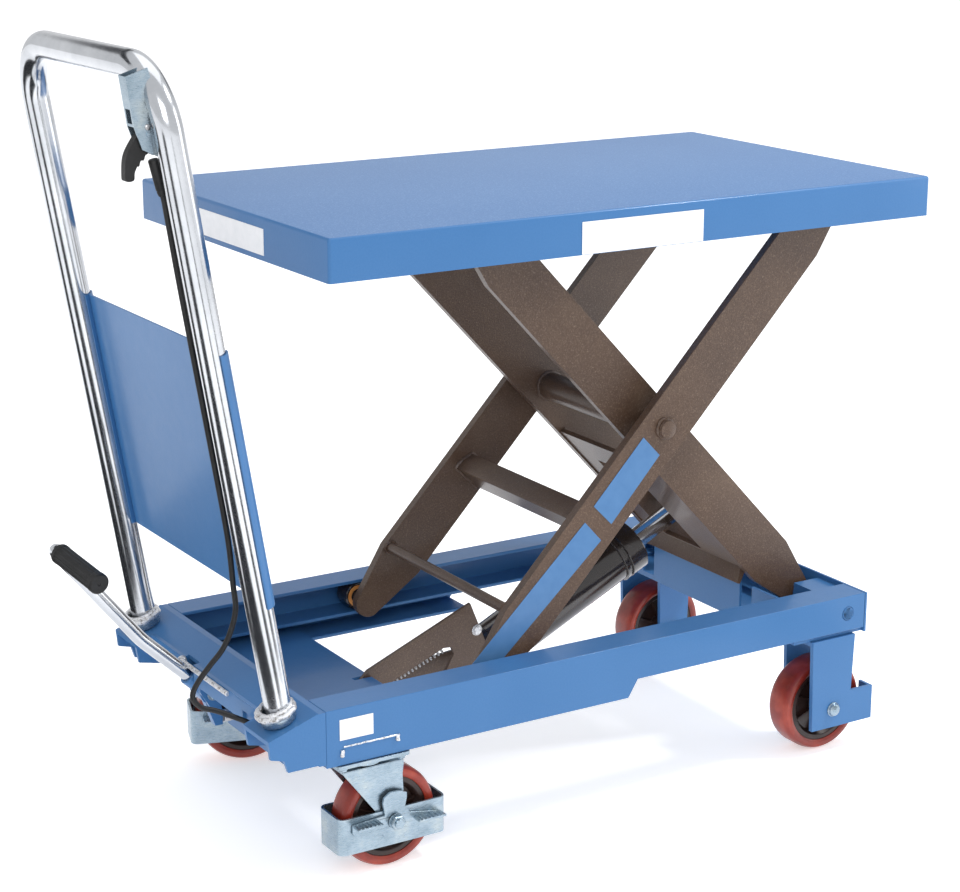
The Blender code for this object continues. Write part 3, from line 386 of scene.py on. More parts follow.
def piece(name, mesh, body, look, stands_for=(), bevel=0.0, segments=2, angle=35):
    """A finished piece that rides on a body."""
    made = bpy.data.objects.new(name, mesh)
    bpy.context.scene.collection.objects.link(made)
    mesh.materials.clear()
    mesh.materials.append(look)
    set_shading(mesh, angle)
    if bevel:
        edge = made.modifiers.new("edge", "BEVEL")
        edge.width = bevel
        edge.segments = segments
        edge.limit_method = "ANGLE"
        edge.angle_limit = math.radians(30)
        edge.harden_normals = True
    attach(made, body)
    if stands_for:
        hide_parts(*stands_for)
    return made


def shifted(mesh, matrix=None):
    """Moves a mesh drawn from the middle of the table to its place in the frame."""
    mesh.transform(Matrix.Translation((X0, 0, 0)) @ (matrix or Matrix.Identity(4)))
    bm = bmesh.new()
    bm.from_mesh(mesh)
    bmesh.ops.remove_doubles(bm, verts=bm.verts, dist=2e-6)
    bmesh.ops.recalc_face_normals(bm, faces=bm.faces)
    bm.to_mesh(mesh)
    bm.free()
    return mesh


def curve_mesh(curve, matrix=None):
    holder = bpy.data.objects.new("holder", curve)
    bpy.context.scene.collection.objects.link(holder)
    graph = bpy.context.evaluated_depsgraph_get()
    mesh = bpy.data.meshes.new_from_object(holder.evaluated_get(graph))
    bpy.data.objects.remove(holder, do_unlink=True)
    return shifted(mesh, matrix)


PLANES = {
    "XZ": Matrix(((1, 0, 0, 0), (0, 0, -1, 0), (0, 1, 0, 0), (0, 0, 0, 1))),
    "YZ": Matrix(((0, 0, 1, 0), (1, 0, 0, 0), (0, 1, 0, 0), (0, 0, 0, 1))),
    "XY": Matrix.Identity(4),
}


def plate(loops, plane, start, end, matrix=None):
    """Closed outlines filled and extruded between two positions along the normal of a plane."""
    curve = bpy.data.curves.new("outline", "CURVE")
    curve.dimensions = "2D"
    curve.fill_mode = "BOTH"
    curve.extrude = abs(end - start) / 2
    for loop in loops:
        spline = curve.splines.new("POLY")
        spline.points.add(len(loop) - 1)
        for point, (a, b) in zip(spline.points, loop):
            point.co = (a, b, 0, 1)
        spline.use_cyclic_u = True
    middle = (start + end) / 2
    shift = {"XZ": (0, middle, 0), "YZ": (middle, 0, 0), "XY": (0, 0, middle)}[plane]
    return curve_mesh(curve, (matrix or Matrix.Identity(4)) @ Matrix.Translation(shift) @ PLANES[plane])


def box(x, y, z, matrix=None):
    return plate([[(x[0], z[0]), (x[1], z[0]), (x[1], z[1]), (x[0], z[1])]], "XZ", y[0], y[1], matrix)


def aimed(a, b):
    a, b = Vector(a), Vector(b)
    return Matrix.Translation(a) @ (b - a).to_track_quat("Z", "Y").to_matrix().to_4x4()


def turned(section, a, b, sides=64, matrix=None):
    """A section of (radius, distance from a) turned about the line from a to b."""
    bm = bmesh.new()
    corners = [bm.verts.new((r, 0, h)) for r, h in section]
    edges = [bm.edges.new(pair) for pair in zip(corners, corners[1:])]
    bmesh.ops.spin(bm, geom=corners + edges, axis=(0, 0, 1), cent=(0, 0, 0), steps=sides, angle=math.tau)
    mesh = bpy.data.meshes.new("turned")
    bm.to_mesh(mesh)
    bm.free()
    return shifted(mesh, (matrix or Matrix.Identity(4)) @ aimed(a, b))


def shaft(a, b, radius, sides=48, chamfer=0.0008, matrix=None):
    """A round bar with broken end edges."""
    h = (Vector(b) - Vector(a)).length
    c = min(chamfer, radius / 3)
    section = [(0.0, 0.0), (radius - c, 0.0), (radius, c), (radius, h - c), (radius - c, h), (0.0, h)]
    return turned(section, a, b, sides, matrix)


def tube(points, radius, matrix=None, sides=8, caps=True):
    curve = bpy.data.curves.new("tube", "CURVE")
    curve.dimensions = "3D"
    curve.bevel_depth = radius
    curve.bevel_resolution = sides
    curve.use_fill_caps = caps
    spline = curve.splines.new("POLY")
    spline.points.add(len(points) - 1)
    for point, place in zip(spline.points, points):
        point.co = (*place, 1)
    return curve_mesh(curve, matrix)


def rounded(points, radius, steps):
    """A polyline with each inner corner turned into an arc."""
    points = [Vector(p) for p in points]
    made = [tuple(points[0])]
    for before, at, after in zip(points, points[1:], points[2:]):
        a, b = (before - at).normalized(), (after - at).normalized()
        half = a.angle(b) / 2
        reach = radius / math.tan(half)
        centre = at + (a + b).normalized() * radius / math.sin(half)
        first, last = at + a * reach - centre, at + b * reach - centre
        for i in range(steps + 1):
            made.append(tuple(centre + first.slerp(last, i / steps).normalized() * radius))
    return made + [tuple(points[-1])]


def smooth_path(points, steps):
    """A Catmull-Rom curve through the points."""
    points = [Vector(p) for p in points]
    ends = [2 * points[0] - points[1], *points, 2 * points[-1] - points[-2]]
    made = []
    for p0, p1, p2, p3 in zip(ends, ends[1:], ends[2:], ends[3:]):
        for i in range(steps):
            t = i / steps
            made.append(tuple(0.5 * (2 * p1 + (p2 - p0) * t + (2 * p0 - 5 * p1 + 4 * p2 - p3) * t * t
                                     + (3 * p1 - p0 - 3 * p2 + p3) * t ** 3)))
    return made + [tuple(points[-1])]


def joined(*meshes):
    bm = bmesh.new()
    for mesh in meshes:
        bm.from_mesh(mesh)
    mesh = bpy.data.meshes.new("joined")
    bm.to_mesh(mesh)
    bm.free()
    return mesh


def circle(x, z, radius, sides=32):
    return [(x + radius * math.cos(math.tau * i / sides), z + radius * math.sin(math.tau * i / sides))
            for i in range(sides)]


def arc(x, z, radius, first, last, steps):
    turns = [math.radians(first + (last - first) * i / steps) for i in range(steps + 1)]
    return [(x + radius * math.cos(t), z + radius * math.sin(t)) for t in turns]


def bolt(a, b, across, sides=6, washer=0.0, washer_t=0.0015, matrix=None):
    """A hexagon head or nut between two points, chamfered, on an optional washer."""
    h = (Vector(b) - Vector(a)).length
    r = across / math.sqrt(3)
    parts = [turned([(0, 0), (r, 0), (r, h * 0.80), (r * 0.86, h), (0, h)], a, b, sides, matrix)]
    if washer:
        way = (Vector(b) - Vector(a)).normalized()
        parts.append(shaft(a, Vector(a) + washer_t * way, washer, 32, 0.0003, matrix))
    return joined(*parts)


def rounded_box(x0, x1, y0, y1, radius, steps=6):
    """The outline of a rectangle with round corners."""
    return [
        *arc(x1 - radius, y1 - radius, radius, 0, 90, steps),
        *arc(x0 + radius, y1 - radius, radius, 90, 180, steps),
        *arc(x0 + radius, y0 + radius, radius, 180, 270, steps),
        *arc(x1 - radius, y0 + radius, radius, 270, 360, steps),
    ]


def weld_bead(points, radius, seed, lumps=260.0):
    """A bead laid along a path, swelling and shrinking like hand welding."""
    mesh = tube(points, radius, None, 3)
    for vertex in mesh.vertices:
        shifts = (seed, 7.1, 0), (seed, 0, 3.3), (seed, 0, 0)
        vertex.co += Vector([noise.noise(vertex.co * lumps + Vector(shift)) for shift in shifts]) * radius * 0.45
    return mesh


def on_arm(angle, s, n):
    """x, z of a point by its distance along an arm from the centre pivot and across it."""
    c, t = math.cos(angle), math.sin(angle)
    return (CENTRE.x + c * s - t * n, CENTRE.z + t * s + c * n)


def dress(node, look, bevel=0.0010, segments=2, angle=30):
    """Keeps a CAD node, with softened edges and its finish."""
    held = NODES[node]
    held.data.materials.clear()
    held.data.materials.append(look)
    for name in ("custom_normal", "sharp_edge", "sharp_face"):
        found = held.data.attributes.get(name)
        if found:
            held.data.attributes.remove(found)
    weld = held.modifiers.new("weld", "WELD")
    weld.merge_threshold = 1e-6
    flat = held.modifiers.new("flat", "DECIMATE")
    flat.decimate_type = "DISSOLVE"
    flat.angle_limit = math.radians(1.0)
    if bevel:
        edge = held.modifiers.new("edge", "BEVEL")
        edge.width = bevel
        edge.segments = segments
        edge.limit_method = "ANGLE"
        edge.angle_limit = math.radians(angle)
        edge.harden_normals = True
    for polygon in held.data.polygons:
        polygon.use_smooth = True


# Edge rounding of the CAD nodes, 1 mm where none is given. The beam's stays under half a
# millimetre, because 0.8 mm meets the inner arms when the table is down.
EDGE_WIDTHS = {
    "rail_near": 0.0026, "rail_far": 0.0020, "rear_deck": 0.0014, "front_beam": 0.0004,
    "front_fork_near": 0.0014, "front_fork_far": 0.0014, "guard_panel": 0.0007,
    "trigger_bracket": 0.0004, "pedal_crank": 0.0008, "outer_arm_near": 0.0009,
    "outer_arm_far": 0.0009, "inner_arm_near": 0.0009, "inner_arm_far": 0.0009,
    "ram_cradle": 0.0007, "torsion_frame": 0.0010, "cross_channel": 0.0016,
}
for node in frame["record"]["subparts"]:
    dress(node["node"], SLOTS[node["material_slot"]], EDGE_WIDTHS.get(node["node"], 0.0010), 3)

# ---------------------------------------------------------------- wheels and casters
WHEEL_R, RIM_R = 0.0635, 0.0505
FRONT_X, FRONT_Y = 0.331, 0.181
SWIVEL_X, TRAIL, CASTER_Y = -0.365, 0.027, 0.193
FAR_TURN = math.radians(-18.0)


def wheel(tag, half, hub_half, seat, body):
    """A cast tyre with rolled shoulders on a dished, ribbed hub."""
    a, b, r = (0, -half, 0), (0, half, 0), WHEEL_R
    side = [
        (RIM_R, 0.0022), (RIM_R + 0.0028, 0.0006), (r - 0.0070, 0.0), (r - 0.0036, 0.0012),
        (r - 0.0013, 0.0045), (r - 0.0003, 0.0090),
    ]
    loop = side + [(q, 2 * half - h) for q, h in reversed(side)]
    piece(f"{tag}_tread", turned(loop + loop[:1], a, b, 96, seat), body, RED, (f"{tag}_tyre",))
    dish = [
        (0.0063, half - hub_half), (0.0142, half - hub_half), (0.0150, half - hub_half + 0.0008),
        (0.0165, 0.0108),
        (0.0390, 0.0112), (0.0436, 0.0032), (0.0448, 0.0026), (RIM_R - GAP, 0.0030),
    ]
    loop = dish + [(q, 2 * half - h) for q, h in reversed(dish)]
    parts = [turned(loop + loop[:1], a, b, 96, seat)]
    for i in range(8):
        spin = seat @ Matrix.Rotation(math.tau * (i + 0.5) / 8, 4, "Y")
        for low, high in ((-half + 0.0062, -half + 0.0125), (half - 0.0125, half - 0.0062)):
            parts.append(box((0.0155, 0.0405), (low, high), (-0.0014, 0.0014), spin))
    piece(f"{tag}_core", joined(*parts), body, HUB, (f"{tag}_hub",), 0.0004)


def caster(tag, side):
    """A swivel caster: top plate, turning crown and fork, wheel and brake."""
    turn = FAR_TURN if side > 0 else 0.0
    mid = side * CASTER_Y
    seat = Matrix.Translation((SWIVEL_X, mid, 0)) @ Matrix.Rotation(turn, 4, "Z")
    fork, brake = f"caster_{tag}", f"caster_brake_{tag}"
    wheel(fork, 0.0180, 0.0200, seat @ Matrix.Translation((TRAIL, 0, WHEEL_R)), f"caster_wheel_{tag}")

    corners = rounded_box(-0.0490, 0.0495, -0.0310, 0.0310, 0.0060)
    fixed = [
        plate([corners], "XY", 0.1432, 0.1477, Matrix.Translation((SWIVEL_X, mid, 0))),
        turned([(0, 0), (0.0225, 0), (0.0240, 0.0012), (0.0240, 0.0032), (0.0226, 0.0038), (0.0240, 0.0044),
                (0.0240, 0.0070), (0, 0.0070)], (SWIVEL_X, mid, 0.1366), (SWIVEL_X, mid, 0.1436), 48),
    ]
    for dx in (-0.0385, 0.0390):
        for dy in (-0.0235, 0.0235):
            foot = (SWIVEL_X + dx, mid + dy)
            fixed.append(bolt((*foot, 0.1433), (*foot, 0.1385), 0.0100, 6, 0.0070))
    piece(f"caster_seat_{tag}", joined(*fixed), "base", ZINC, (f"caster_plate_{tag}",), 0.0004)

    leg = [
        (-0.0380, 0.1352), (0.0430, 0.1352), (0.0430, 0.1290), (0.0415, 0.1180), (TRAIL + 0.0170, 0.0620),
        *arc(TRAIL, WHEEL_R, 0.0152, -10, -170, 12),
        (TRAIL - 0.0185, 0.0720), (-0.0300, 0.1230), (-0.0345, 0.1290),
    ]
    axle_near, axle_far = (TRAIL, -0.0430, WHEEL_R), (TRAIL, 0.0330, WHEEL_R)
    swings = [
        plate([leg], "XZ", -0.0235, -0.0207, seat), plate([leg], "XZ", 0.0207, 0.0235, seat),
        box((-0.0375, 0.0425), (-0.0232, 0.0232), (0.1326, 0.1360), seat),
        shaft(axle_near, axle_far, 0.0058, 32, 0.0008, seat),
        bolt((TRAIL, -0.0320, WHEEL_R), (TRAIL, -0.0402, WHEEL_R), 0.0168, 6, 0.0098, 0.0016, seat),
        bolt((TRAIL, 0.0272, WHEEL_R), (TRAIL, 0.0350, WHEEL_R), 0.0168, 6, 0.0098, 0.0016, seat),
    ]
    piece(f"{fork}_crown", joined(*swings), fork, ZINC, (f"caster_fork_{tag}",), 0.0005)

    outer = rounded_box(TRAIL - 0.0725, TRAIL + 0.0725, -0.0270, 0.0270, 0.0095)
    inner = rounded_box(TRAIL - 0.0697, TRAIL + 0.0697, -0.0242, 0.0242, 0.0067)
    piece(f"{fork}_band", plate([outer, inner], "XY", 0.0320, 0.0775, seat), fork, ZINC,
          (f"caster_guard_{tag}",), 0.0007)

    outline = [
        (TRAIL - 0.0570, 0.0700), (TRAIL - 0.0575, 0.0600), (TRAIL - 0.0550, 0.0560), (TRAIL - 0.0180, 0.0500),
        (TRAIL - 0.0140, 0.0450), (TRAIL - 0.0020, 0.0425), (TRAIL + 0.0100, 0.0440), (TRAIL + 0.0220, 0.0500),
        (TRAIL + 0.0560, 0.0575), (TRAIL + 0.0590, 0.0600), (TRAIL + 0.0580, 0.0630), (TRAIL + 0.0210, 0.0700),
        (TRAIL + 0.0130, 0.0780), (TRAIL + 0.0160, 0.0900), (TRAIL + 0.0160, 0.0965), (TRAIL + 0.0060, 0.1005),
        (TRAIL - 0.0060, 0.1010), (TRAIL - 0.0150, 0.0950), (TRAIL - 0.0165, 0.0880), (TRAIL - 0.0140, 0.0730),
    ]
    rocker = [
        plate([outline, circle(TRAIL, WHEEL_R, 0.0062)], "XZ", -0.0310, -0.0277, seat),
        box((TRAIL - 0.0565, TRAIL - 0.0230), (-0.0450, -0.0285), (0.0672, 0.0698), seat),
        box((TRAIL + 0.0250, TRAIL + 0.0620), (-0.0450, -0.0285), (0.0602, 0.0628), seat),
    ]
    for i in range(6):
        x = TRAIL - 0.0540 + 0.0052 * i
        rocker.append(box((x, x + 0.0022), (-0.0444, -0.0300), (0.0696, 0.0706), seat))
        x = TRAIL + 0.0300 + 0.0052 * i
        rocker.append(box((x, x + 0.0022), (-0.0444, -0.0300), (0.0626, 0.0636), seat))
    piece(f"{brake}_rocker", joined(*rocker), brake, ZINC, (brake,), 0.0005)


for tag, side in SIDES:
    hub_seat = Matrix.Translation((FRONT_X, side * FRONT_Y, WHEEL_R))
    wheel(f"front_{tag}", 0.0200, 0.0325, hub_seat, f"front_wheel_{tag}")
    caster(tag, side)
    heads = [
        shaft((FRONT_X, side * 0.1350, WHEEL_R), (FRONT_X, side * 0.2235, WHEEL_R), 0.0060, 32),
        turned([(0, 0), (0.0098, 0), (0.0098, 0.0010), (0.0090, 0.0016), (0.0078, 0.0046), (0.0052, 0.0064),
                (0, 0.0070)],
               (FRONT_X, side * 0.2216, WHEEL_R), (FRONT_X, side * 0.2286, WHEEL_R), 32),
        bolt((FRONT_X, side * 0.1417, WHEEL_R), (FRONT_X, side * 0.1340, WHEEL_R), 0.0164, 6, 0.0095),
    ]
    piece(f"front_bolt_{tag}", joined(*heads), "base", ZINC, (f"front_axle_{tag}",), 0.0003)

# ---------------------------------------------------------------- handle, trigger and cable
LEAN, FOOT_X, FOOT_Z, POST_Y, TUBE_R = 0.1642, -0.4712, 0.2155, 0.1917, 0.016
BAR_Z, BEND_R = 0.956, 0.070


def on_handle(y, z):
    """A point of the leaning handle at height z."""
    return (FOOT_X - LEAN * (z - FOOT_Z), y, z)


path = [on_handle(-POST_Y, 0.2060)]
for turn in range(0, 91, 3):
    t = math.radians(turn)
    path.append(on_handle(-POST_Y + BEND_R * (1 - math.cos(t)), BAR_Z - BEND_R + BEND_R * math.sin(t)))
for turn in range(90, -1, -3):
    t = math.radians(turn)
    path.append(on_handle(POST_Y - BEND_R * (1 - math.cos(t)), BAR_Z - BEND_R + BEND_R * math.sin(t)))
path.append(on_handle(POST_Y, 0.2060))
piece("handle_tube", tube(path, TUBE_R, None, 14), "base", CHROME, ("handle_frame",))

tail_tilt = math.atan2(0.0220, 0.0638)
for tag, side in SIDES:
    seat = Matrix.Translation((FOOT_X, side * POST_Y, 0.2068)) @ Matrix.Rotation(-tail_tilt + 0.02, 4, "Y")
    collar = turned([(0.0168, 0.0014), (0.0200, 0.0014), (0.0212, 0.0040), (0.0212, 0.0130), (0.0168, 0.0150),
                     (0.0168, 0.0014)],
                    (0, 0, 0), (0, 0, 1), 48, seat)
    piece(f"foot_collar_{tag}", collar, "base", ZINC, (f"handle_foot_{tag}",))
    rims = [
        [tuple(seat @ Vector((along * math.cos(math.tau * i / 40), over * math.sin(math.tau * i / 40), height)))
         for i in range(41)]
        for along, over, height in ((0.0208, 0.0214, 0.0150), (0.0188, 0.0192, 0.0190))
    ]
    piece(f"foot_weld_{tag}",
          joined(weld_bead(rims[0], 0.0042, 2 + side, 180), weld_bead(rims[1], 0.0030, 5 + side, 240)),
          "base", WELD)

TRIG_Y, TRIG_PIVOT = -0.1710, (-0.6006, 0.8875)
finger = smooth_path([(-0.5960, 0, 0.8960), (-0.6060, 0, 0.8930), (-0.6184, 0, 0.8776), (-0.6252, 0, 0.8637),
                      (-0.6268, 0, 0.8460), (-0.6256, 0, 0.8395), (-0.6171, 0, 0.8400), (-0.6157, 0, 0.8478),
                      (-0.6128, 0, 0.8540), (-0.6105, 0, 0.8545), (-0.6085, 0, 0.8600), (-0.6050, 0, 0.8605),
                      (-0.6030, 0, 0.8655), (-0.5995, 0, 0.8680), (-0.5940, 0, 0.8800), (-0.5960, 0, 0.8960)], 4)
outline = [(x, z) for x, _, z in finger[:-1]]
piece("trigger_finger", plate([outline], "XZ", TRIG_Y - 0.0055, TRIG_Y + 0.0055), "trigger", RUBBER,
      ("trigger_lever",), 0.0016, 3)
piece("trigger_pin", turned([(0, 0), (0.0034, 0), (0.0034, 0.0010), (0.0022, 0.0020), (0, 0.0022)],
                            (TRIG_PIVOT[0] - 0.0005, TRIG_Y - 0.0095, 0.8955),
                            (TRIG_PIVOT[0] - 0.0005, TRIG_Y - 0.0120, 0.8955), 24),
      "base", STEEL)

cable_path = [
    (-0.5925, TRIG_Y, 0.8600), (-0.5825, TRIG_Y, 0.8200), (-0.5790, TRIG_Y, 0.8000), (-0.5682, TRIG_Y, 0.7300),
    (-0.5594, TRIG_Y, 0.6760), (-0.5516, TRIG_Y, 0.6280), (-0.5410, TRIG_Y, 0.5640), (-0.5240, TRIG_Y, 0.4600),
    (-0.5170, TRIG_Y + 0.002, 0.4150), (-0.5100, TRIG_Y + 0.010, 0.3700), (-0.5040, -0.1530, 0.3380),
    (-0.5050, -0.1410, 0.3080), (-0.5110, -0.1290, 0.2820), (-0.5220, -0.1190, 0.2620), (-0.5330, -0.1110, 0.2430),
    (-0.5390, -0.1060, 0.2280), (-0.5390, -0.1050, 0.2180), (-0.5330, -0.1050, 0.2095), (-0.5255, -0.1050, 0.2040),
    (-0.5103, -0.1060, 0.1980), (-0.4894, -0.1140, 0.1880), (-0.4790, -0.1210, 0.1830), (-0.4680, -0.1220, 0.1760),
    (-0.4580, -0.1160, 0.1640), (-0.4480, -0.1040, 0.1500), (-0.4370, -0.0900, 0.1400), (-0.4300, -0.0750, 0.1340),
]
way = (Vector(cable_path[1]) - Vector(cable_path[0])).length
boot = turned([(0, 0), (0.0050, 0), (0.0058, 0.0012), (0.0058, way - 0.0080), (0.0052, way - 0.0070),
               (0.0055, way - 0.0050), (0.0046, way - 0.0010), (0.0033, way), (0, way)],
              cable_path[0], cable_path[1], 32)
piece("cable", joined(tube(smooth_path(cable_path, 7), 0.0033, None, 6), boot), "base", RUBBER,
      ("release_cable",))

# ---------------------------------------------------------------- pedal
PEDAL_Y, PX, PZ = 0.045, -0.4553, 0.1653
aim = Vector((-0.0837, 0, 0.0802)).normalized()
pivot = Vector((PX, PEDAL_Y, PZ))
corner, hand = Vector((-0.6480, PEDAL_Y, 0.3830)), Vector((-0.6345, -0.0720, 0.3662))
pull = (hand - corner).normalized()
lower = rounded([tuple(pivot + 0.0180 * aim), tuple(pivot + 0.1159 * aim), tuple(corner)], 0.120, 14)
bar = lower[:-1] + rounded([lower[-2], tuple(corner), tuple(hand - 0.006 * pull)], 0.018, 20)[1:]
piece("pedal_bar", tube(bar, 0.0088, None, 10), "pedal", CHROME, ("pedal_tube",))
start = corner + 0.0250 * pull
reach = (hand - start).length
flutes = [(0.0121 if i % 4 in (0, 1) else 0.0114) for i in range(64)]
fluted = [(r * math.cos(math.tau * i / 64), r * math.sin(math.tau * i / 64)) for i, r in enumerate(flutes)]
grip = [
    plate([fluted], "XY", 0.0030, reach - 0.0080, aimed(start, hand)),
    turned([(0.0090, 0), (0.0118, 0), (0.0125, 0.0010), (0.0125, 0.0060), (0.0116, 0.0072), (0.0090, 0.0072)],
           start, hand, 48),
    turned([(0, 0), (0.0118, 0), (0.0126, 0.0010), (0.0126, 0.0078), (0.0112, 0.0098), (0.0020, 0.0098),
            (0.0014, 0.0088), (0, 0.0088)], hand - 0.0098 * pull, hand, 48),
]
piece("pedal_hand_grip", joined(*grip), "pedal", RUBBER, ("pedal_grip",), 0.0003)
piece("pedal_bolt", bolt((PX, PEDAL_Y - 0.0228, PZ), (PX, PEDAL_Y - 0.0285, PZ), 0.0115, 6, 0.0085), "base",
      ZINC)
rail_pin = joined(
    shaft((-0.4800, 0.0560, 0.2015), (-0.4800, -0.0720, 0.2015), 0.0031, 24),
    bolt((-0.4800, 0.0600, 0.2015), (-0.4800, 0.0530, 0.2015), 0.0095, 6, 0.0068),
)
piece("recess_rod", rail_pin, "base", WELD)

# ---------------------------------------------------------------- ram
RAM_Y, RAM_ANGLE, RAM_TIP = 0.020, math.radians(25.75), (0.2524, 0.2981)


def on_ram(along, off=0.0, y=RAM_Y):
    """A point by its distance along the ram from the rod head and its height above the axis."""
    c, t = math.cos(RAM_ANGLE), math.sin(RAM_ANGLE)
    return (RAM_TIP[0] + along * c - off * t, y, RAM_TIP[1] + along * t + off * c)


FACE, BARREL_R = -0.3555, 0.0375
low = FACE + GAP
barrel = [
    (0.0, low), (BARREL_R - 0.002, low), (BARREL_R, low + 0.002), (BARREL_R, low + 0.0120),
    (BARREL_R - 0.003, low + 0.0142),
    (BARREL_R - 0.003, -0.1302), (BARREL_R - 0.0006, -0.1300), (BARREL_R, -0.1294), (BARREL_R, -0.1246),
    (BARREL_R - 0.0008, -0.1240), (BARREL_R - 0.0030, -0.1238), (BARREL_R - 0.0030, -0.1202),
    (BARREL_R - 0.0006, -0.1200),
    (BARREL_R, -0.1192), (BARREL_R, -0.0952), (BARREL_R - 0.0022, -0.0930), (0.0240, -0.0930), (0.0230, -0.0938),
    (0.0175, -0.0938), (0.0170, -0.0925), (0.0148, -0.0925), (0.0148, -0.1500), (0.0, -0.1500),
]
piece("barrel", turned([(r, h - low) for r, h in barrel], on_ram(low), on_ram(0.0), 96), "ram", GLOSS,
      ("ram_barrel",))
piece("rod", joined(shaft(on_ram(-0.2500), on_ram(-0.0040), 0.0140, 64),
                    shaft((RAM_TIP[0], RAM_Y - 0.0170, RAM_TIP[1]), (RAM_TIP[0], RAM_Y + 0.0170, RAM_TIP[1]),
                          0.0130, 48)),
      "ram_rod", CHROME, ("ram_rod",))
low_end, top_end = Vector((-0.2190, RAM_Y - 0.0080, 0.1350)), Vector((-0.1350, RAM_Y - 0.0080, 0.1660))
spring_way = (top_end - low_end).normalized()
across = spring_way.cross(Vector((0, 1, 0)))
COILS, PER_COIL, COIL_R = 15, 16, 0.0056
coil = []
for i in range(COILS * PER_COIL + 1):
    t = math.tau * i / PER_COIL
    off = COIL_R * (math.cos(t) * Vector((0, 1, 0)) + math.sin(t) * across)
    coil.append(tuple(low_end.lerp(top_end, i / (COILS * PER_COIL)) + off))
piece("spring", tube(coil, 0.0011, None, 3), "ram", STEEL, ("cradle_spring",))
cradle_y = RAM_Y - 0.0300
cradle_head = (-0.0950, cradle_y, 0.1906), (-0.0950, cradle_y - 0.0040, 0.1906)
piece("cradle_bolt", bolt(*cradle_head, 0.0100, 24, 0.0075, 0.0012), "ram", WELD)

# ---------------------------------------------------------------- scissor
ROLLER_R, ROLLER_X = 0.0184, CENTRE.x * 2 - LIFT.x
for tag, side in SIDES:
    for place, z, y0, y1, body in (
        ("base", LIFT.z, 0.1790, 0.2060, "base_roller"), ("table", UPPER.z, 0.1202, 0.1405, "table_roller"),
    ):
        width, far_end = y1 - y0, (ROLLER_X, side * y1, z)
        section = [(0.0073, 0.0), (0.0100, 0.0), (0.0104, 0.0006), (0.0156, 0.0006), (ROLLER_R - 0.0012, 0.0),
                   (ROLLER_R, 0.0012), (ROLLER_R, width - 0.0012), (ROLLER_R - 0.0012, width), (0.0073, width),
                   (0.0073, 0.0)]
        piece(f"{place}_wheel_{tag}", turned(section, (ROLLER_X, side * y0, z), far_end, 64), f"{body}_{tag}",
              GLOSS, (f"{place}_roller_{tag}",))
        ring = [(0.0080, 0.0), (0.0150, 0.0), (0.0150, 0.0004), (0.0080, 0.0004), (0.0080, 0.0)]
        piece(f"{place}_bush_{tag}", turned(ring, (ROLLER_X, side * (y0 + 0.0002), z), far_end, 48),
              f"{body}_{tag}", BRASS)


def bead(name, points, radius, seed, body, look=BROWN, lumps=230.0):
    """A weld bead as a piece of its own."""
    piece(name, weld_bead([tuple(p) for p in points], radius, seed, lumps), body, look)


def ring_bead(name, centre, radius, size, seed, body, look=BROWN):
    """A weld bead around an axis along y."""
    x, y, z = centre
    turns = [math.tau * i / 28 for i in range(29)]
    points = [(x + radius * math.cos(t), y, z + radius * math.sin(t)) for t in turns]
    bead(name, points, size, seed, body, look)


OUTER, INNER = ARM_ANGLE, -ARM_ANGLE
for tag, side in SIDES:
    outer_face = side * (OUTER_Y + ARM_T)
    ring_bead(f"centre_bead_{tag}", (CENTRE.x, outer_face, CENTRE.z), 0.0120, 0.0030, 3 + side, "inner_fork")
    piece(f"centre_cap_{tag}", turned([(0, 0), (0.0118, 0), (0.0112, 0.0022), (0.0060, 0.0036), (0, 0.0038)],
                                      (CENTRE.x, side * 0.1636, CENTRE.z), (CENTRE.x, side * 0.1680, CENTRE.z), 32),
          "inner_fork", BROWN)
    inside = side * (OUTER_Y - GAP)
    line = [(-0.163, -0.030), (-0.163, 0.017), (-0.150, 0.017), (-0.133, 0.010), (-0.133, -0.030)]
    path_points = []
    for (s0, n0), (s1, n1) in zip(line, line[1:]):
        for i in range(8):
            s_, n_ = s0 + (s1 - s0) * i / 8, n0 + (n1 - n0) * i / 8
            x, z = on_arm(OUTER, s_, n_)
            path_points.append((x, inside, z))
    bead(f"channel_bead_{tag}", path_points, 0.0026, 11 + side, "outer_fork")
    x, z = on_arm(OUTER, -0.302, 0.0260)
    ring_bead(f"bar_bead_{tag}", (x, inside, z), 0.0078, 0.0024, 14 + side, "outer_fork")
    inside = side * (INNER_Y - GAP)
    path_points = []
    for i in range(40):
        x, z = on_arm(INNER, 0.062 + 0.222 * i / 39, -0.0265)
        path_points.append((x, inside, z))
    bead(f"plate_bead_{tag}", path_points, 0.0024, 17 + side, "inner_fork")
    ring_bead(f"tube_bead_{tag}", (CENTRE.x, inside, CENTRE.z), 0.0190, 0.0024, 21 + side, "inner_fork")


def strip(name, corners, y0, y1, body, look):
    """A thin flat plate with its face along y."""
    piece(name, plate([corners], "XZ", y0, y1), body, look, (), 0.0004)


near_face = -(OUTER_Y + ARM_T)
for name, corners in (
    ("arm_plate_upper", [(0.0579, 0.4619), (0.0833, 0.4355), (0.0112, 0.3564), (-0.0158, 0.3836)]),
    ("arm_plate_lower", [(-0.0286, 0.3648), (-0.0039, 0.3378), (-0.1530, 0.2047), (-0.1935, 0.2095)]),
):
    strip(name, corners, near_face - 0.0007, near_face - 0.0001, "outer_fork", BLUE_FILM)


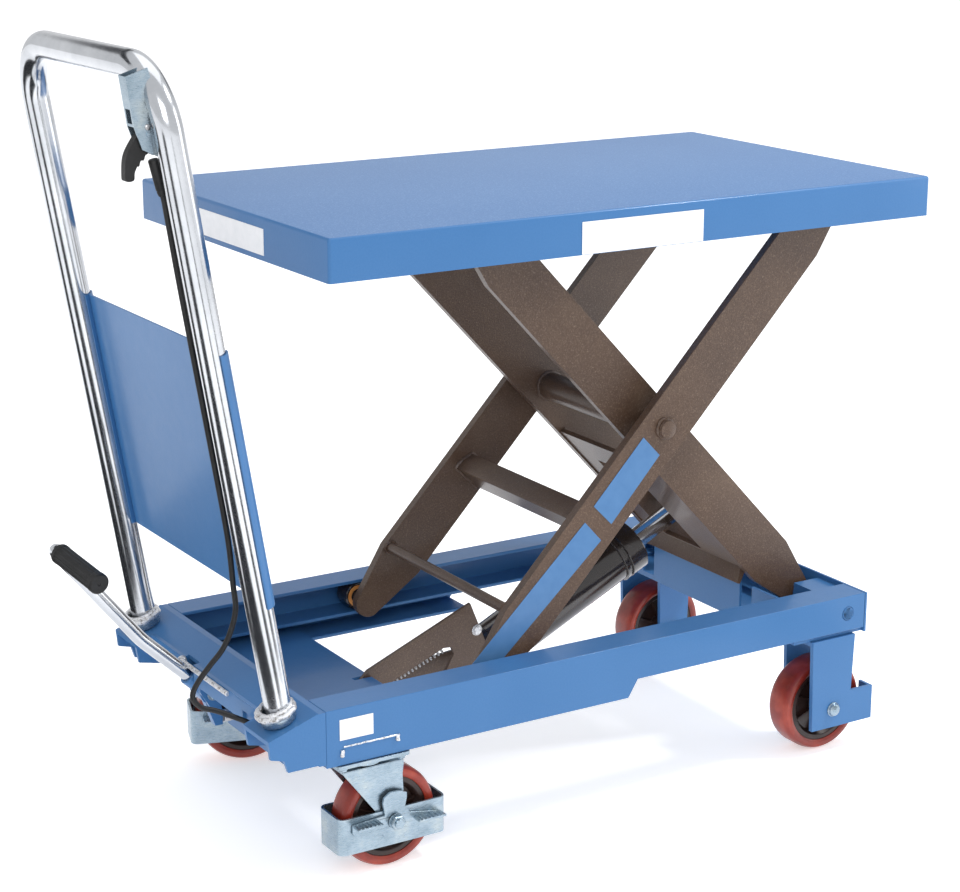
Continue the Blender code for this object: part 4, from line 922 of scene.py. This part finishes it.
# ---------------------------------------------------------------- table
def table_skin():
    """The pressed top with its rolled edges, open below."""
    bm = bmesh.new()
    bmesh.ops.create_cube(bm, size=1.0)
    bmesh.ops.scale(bm, verts=bm.verts, vec=(2 * HALF_L, 2 * HALF_W, SKIRT))
    bmesh.ops.translate(bm, verts=bm.verts, vec=(0, 0, TABLE_TOP - SKIRT / 2))
    under = [face for face in bm.faces if face.normal.z < -0.5]
    bmesh.ops.delete(bm, geom=under, context="FACES_ONLY")
    edges = [edge for edge in bm.edges if not edge.is_boundary]
    bmesh.ops.bevel(bm, geom=edges, offset=0.0036, segments=5, profile=0.5, affect="EDGES")
    bmesh.ops.solidify(bm, geom=bm.faces[:], thickness=0.0030)
    mesh = bpy.data.meshes.new("table_skin")
    bm.to_mesh(mesh)
    bm.free()
    return shifted(mesh)


lugs = []
for tag, side in SIDES:
    low, high = sorted((side * 0.1610, side * 0.1670))
    x, z = UPPER.x, UPPER.z
    ear = [(x - 0.024, TABLE_TOP - 0.003), (x - 0.020, z - 0.010), *arc(x, z, 0.0180, 215, 325, 14),
           (x + 0.020, z - 0.010), (x + 0.024, TABLE_TOP - 0.003)]
    lugs.append(plate([ear, circle(x, z, 0.0094)], "XZ", low, high))
piece("table_lugs", joined(*lugs), "table", BLUE, ("table_top",), 0.0008)
skin = piece("table_skin", table_skin(), "table", TABLE, (), 0.0, 2, 40)
skin.data.materials.append(BLUE)
for polygon in skin.data.polygons:
    polygon.material_index = 0 if polygon.normal.z > 0.9 else 1

# ---------------------------------------------------------------- blank labels
strip("skirt_label", [(-0.0995, 0.7225), (0.0735, 0.7225), (0.0735, 0.7605), (-0.0995, 0.7605)],
      -0.2507, -0.2501, "table", WHITE_FILM)
piece("rear_label", box((-0.4281, -0.4276), (-0.0930, 0.0835), (0.7282, 0.7590)), "table", WHITE_FILM)
strip("rail_label", [(-0.4092, 0.1794), (-0.3649, 0.1794), (-0.3649, 0.2049), (-0.4092, 0.2049)],
      -0.2221, -0.2216, "base", WHITE_FILM)
bead("rail_weld", [(-0.4040 + 0.0710 * i / 30, -0.2217, 0.1708) for i in range(31)], 0.0011, 31, "base", WELD)
for i, (x, z) in enumerate(((-0.4060, 0.1632), (-0.3325, 0.1676))):
    tack = [(x, -0.2218, z + 0.0010 * k) for k in range(-4, 5)]
    bead(f"rail_tack_{i}", tack, 0.0026, 40 + i, "base", WELD, 420.0)
piece("rail_dot", turned([(0, 0), (0.0085, 0), (0.0080, 0.0006), (0, 0.0006)], (0.350, -0.2216, 0.1945),
                         (0.350, -0.2300, 0.1945), 32), "base", BLUE_FILM)

add_camera()
add_studio()
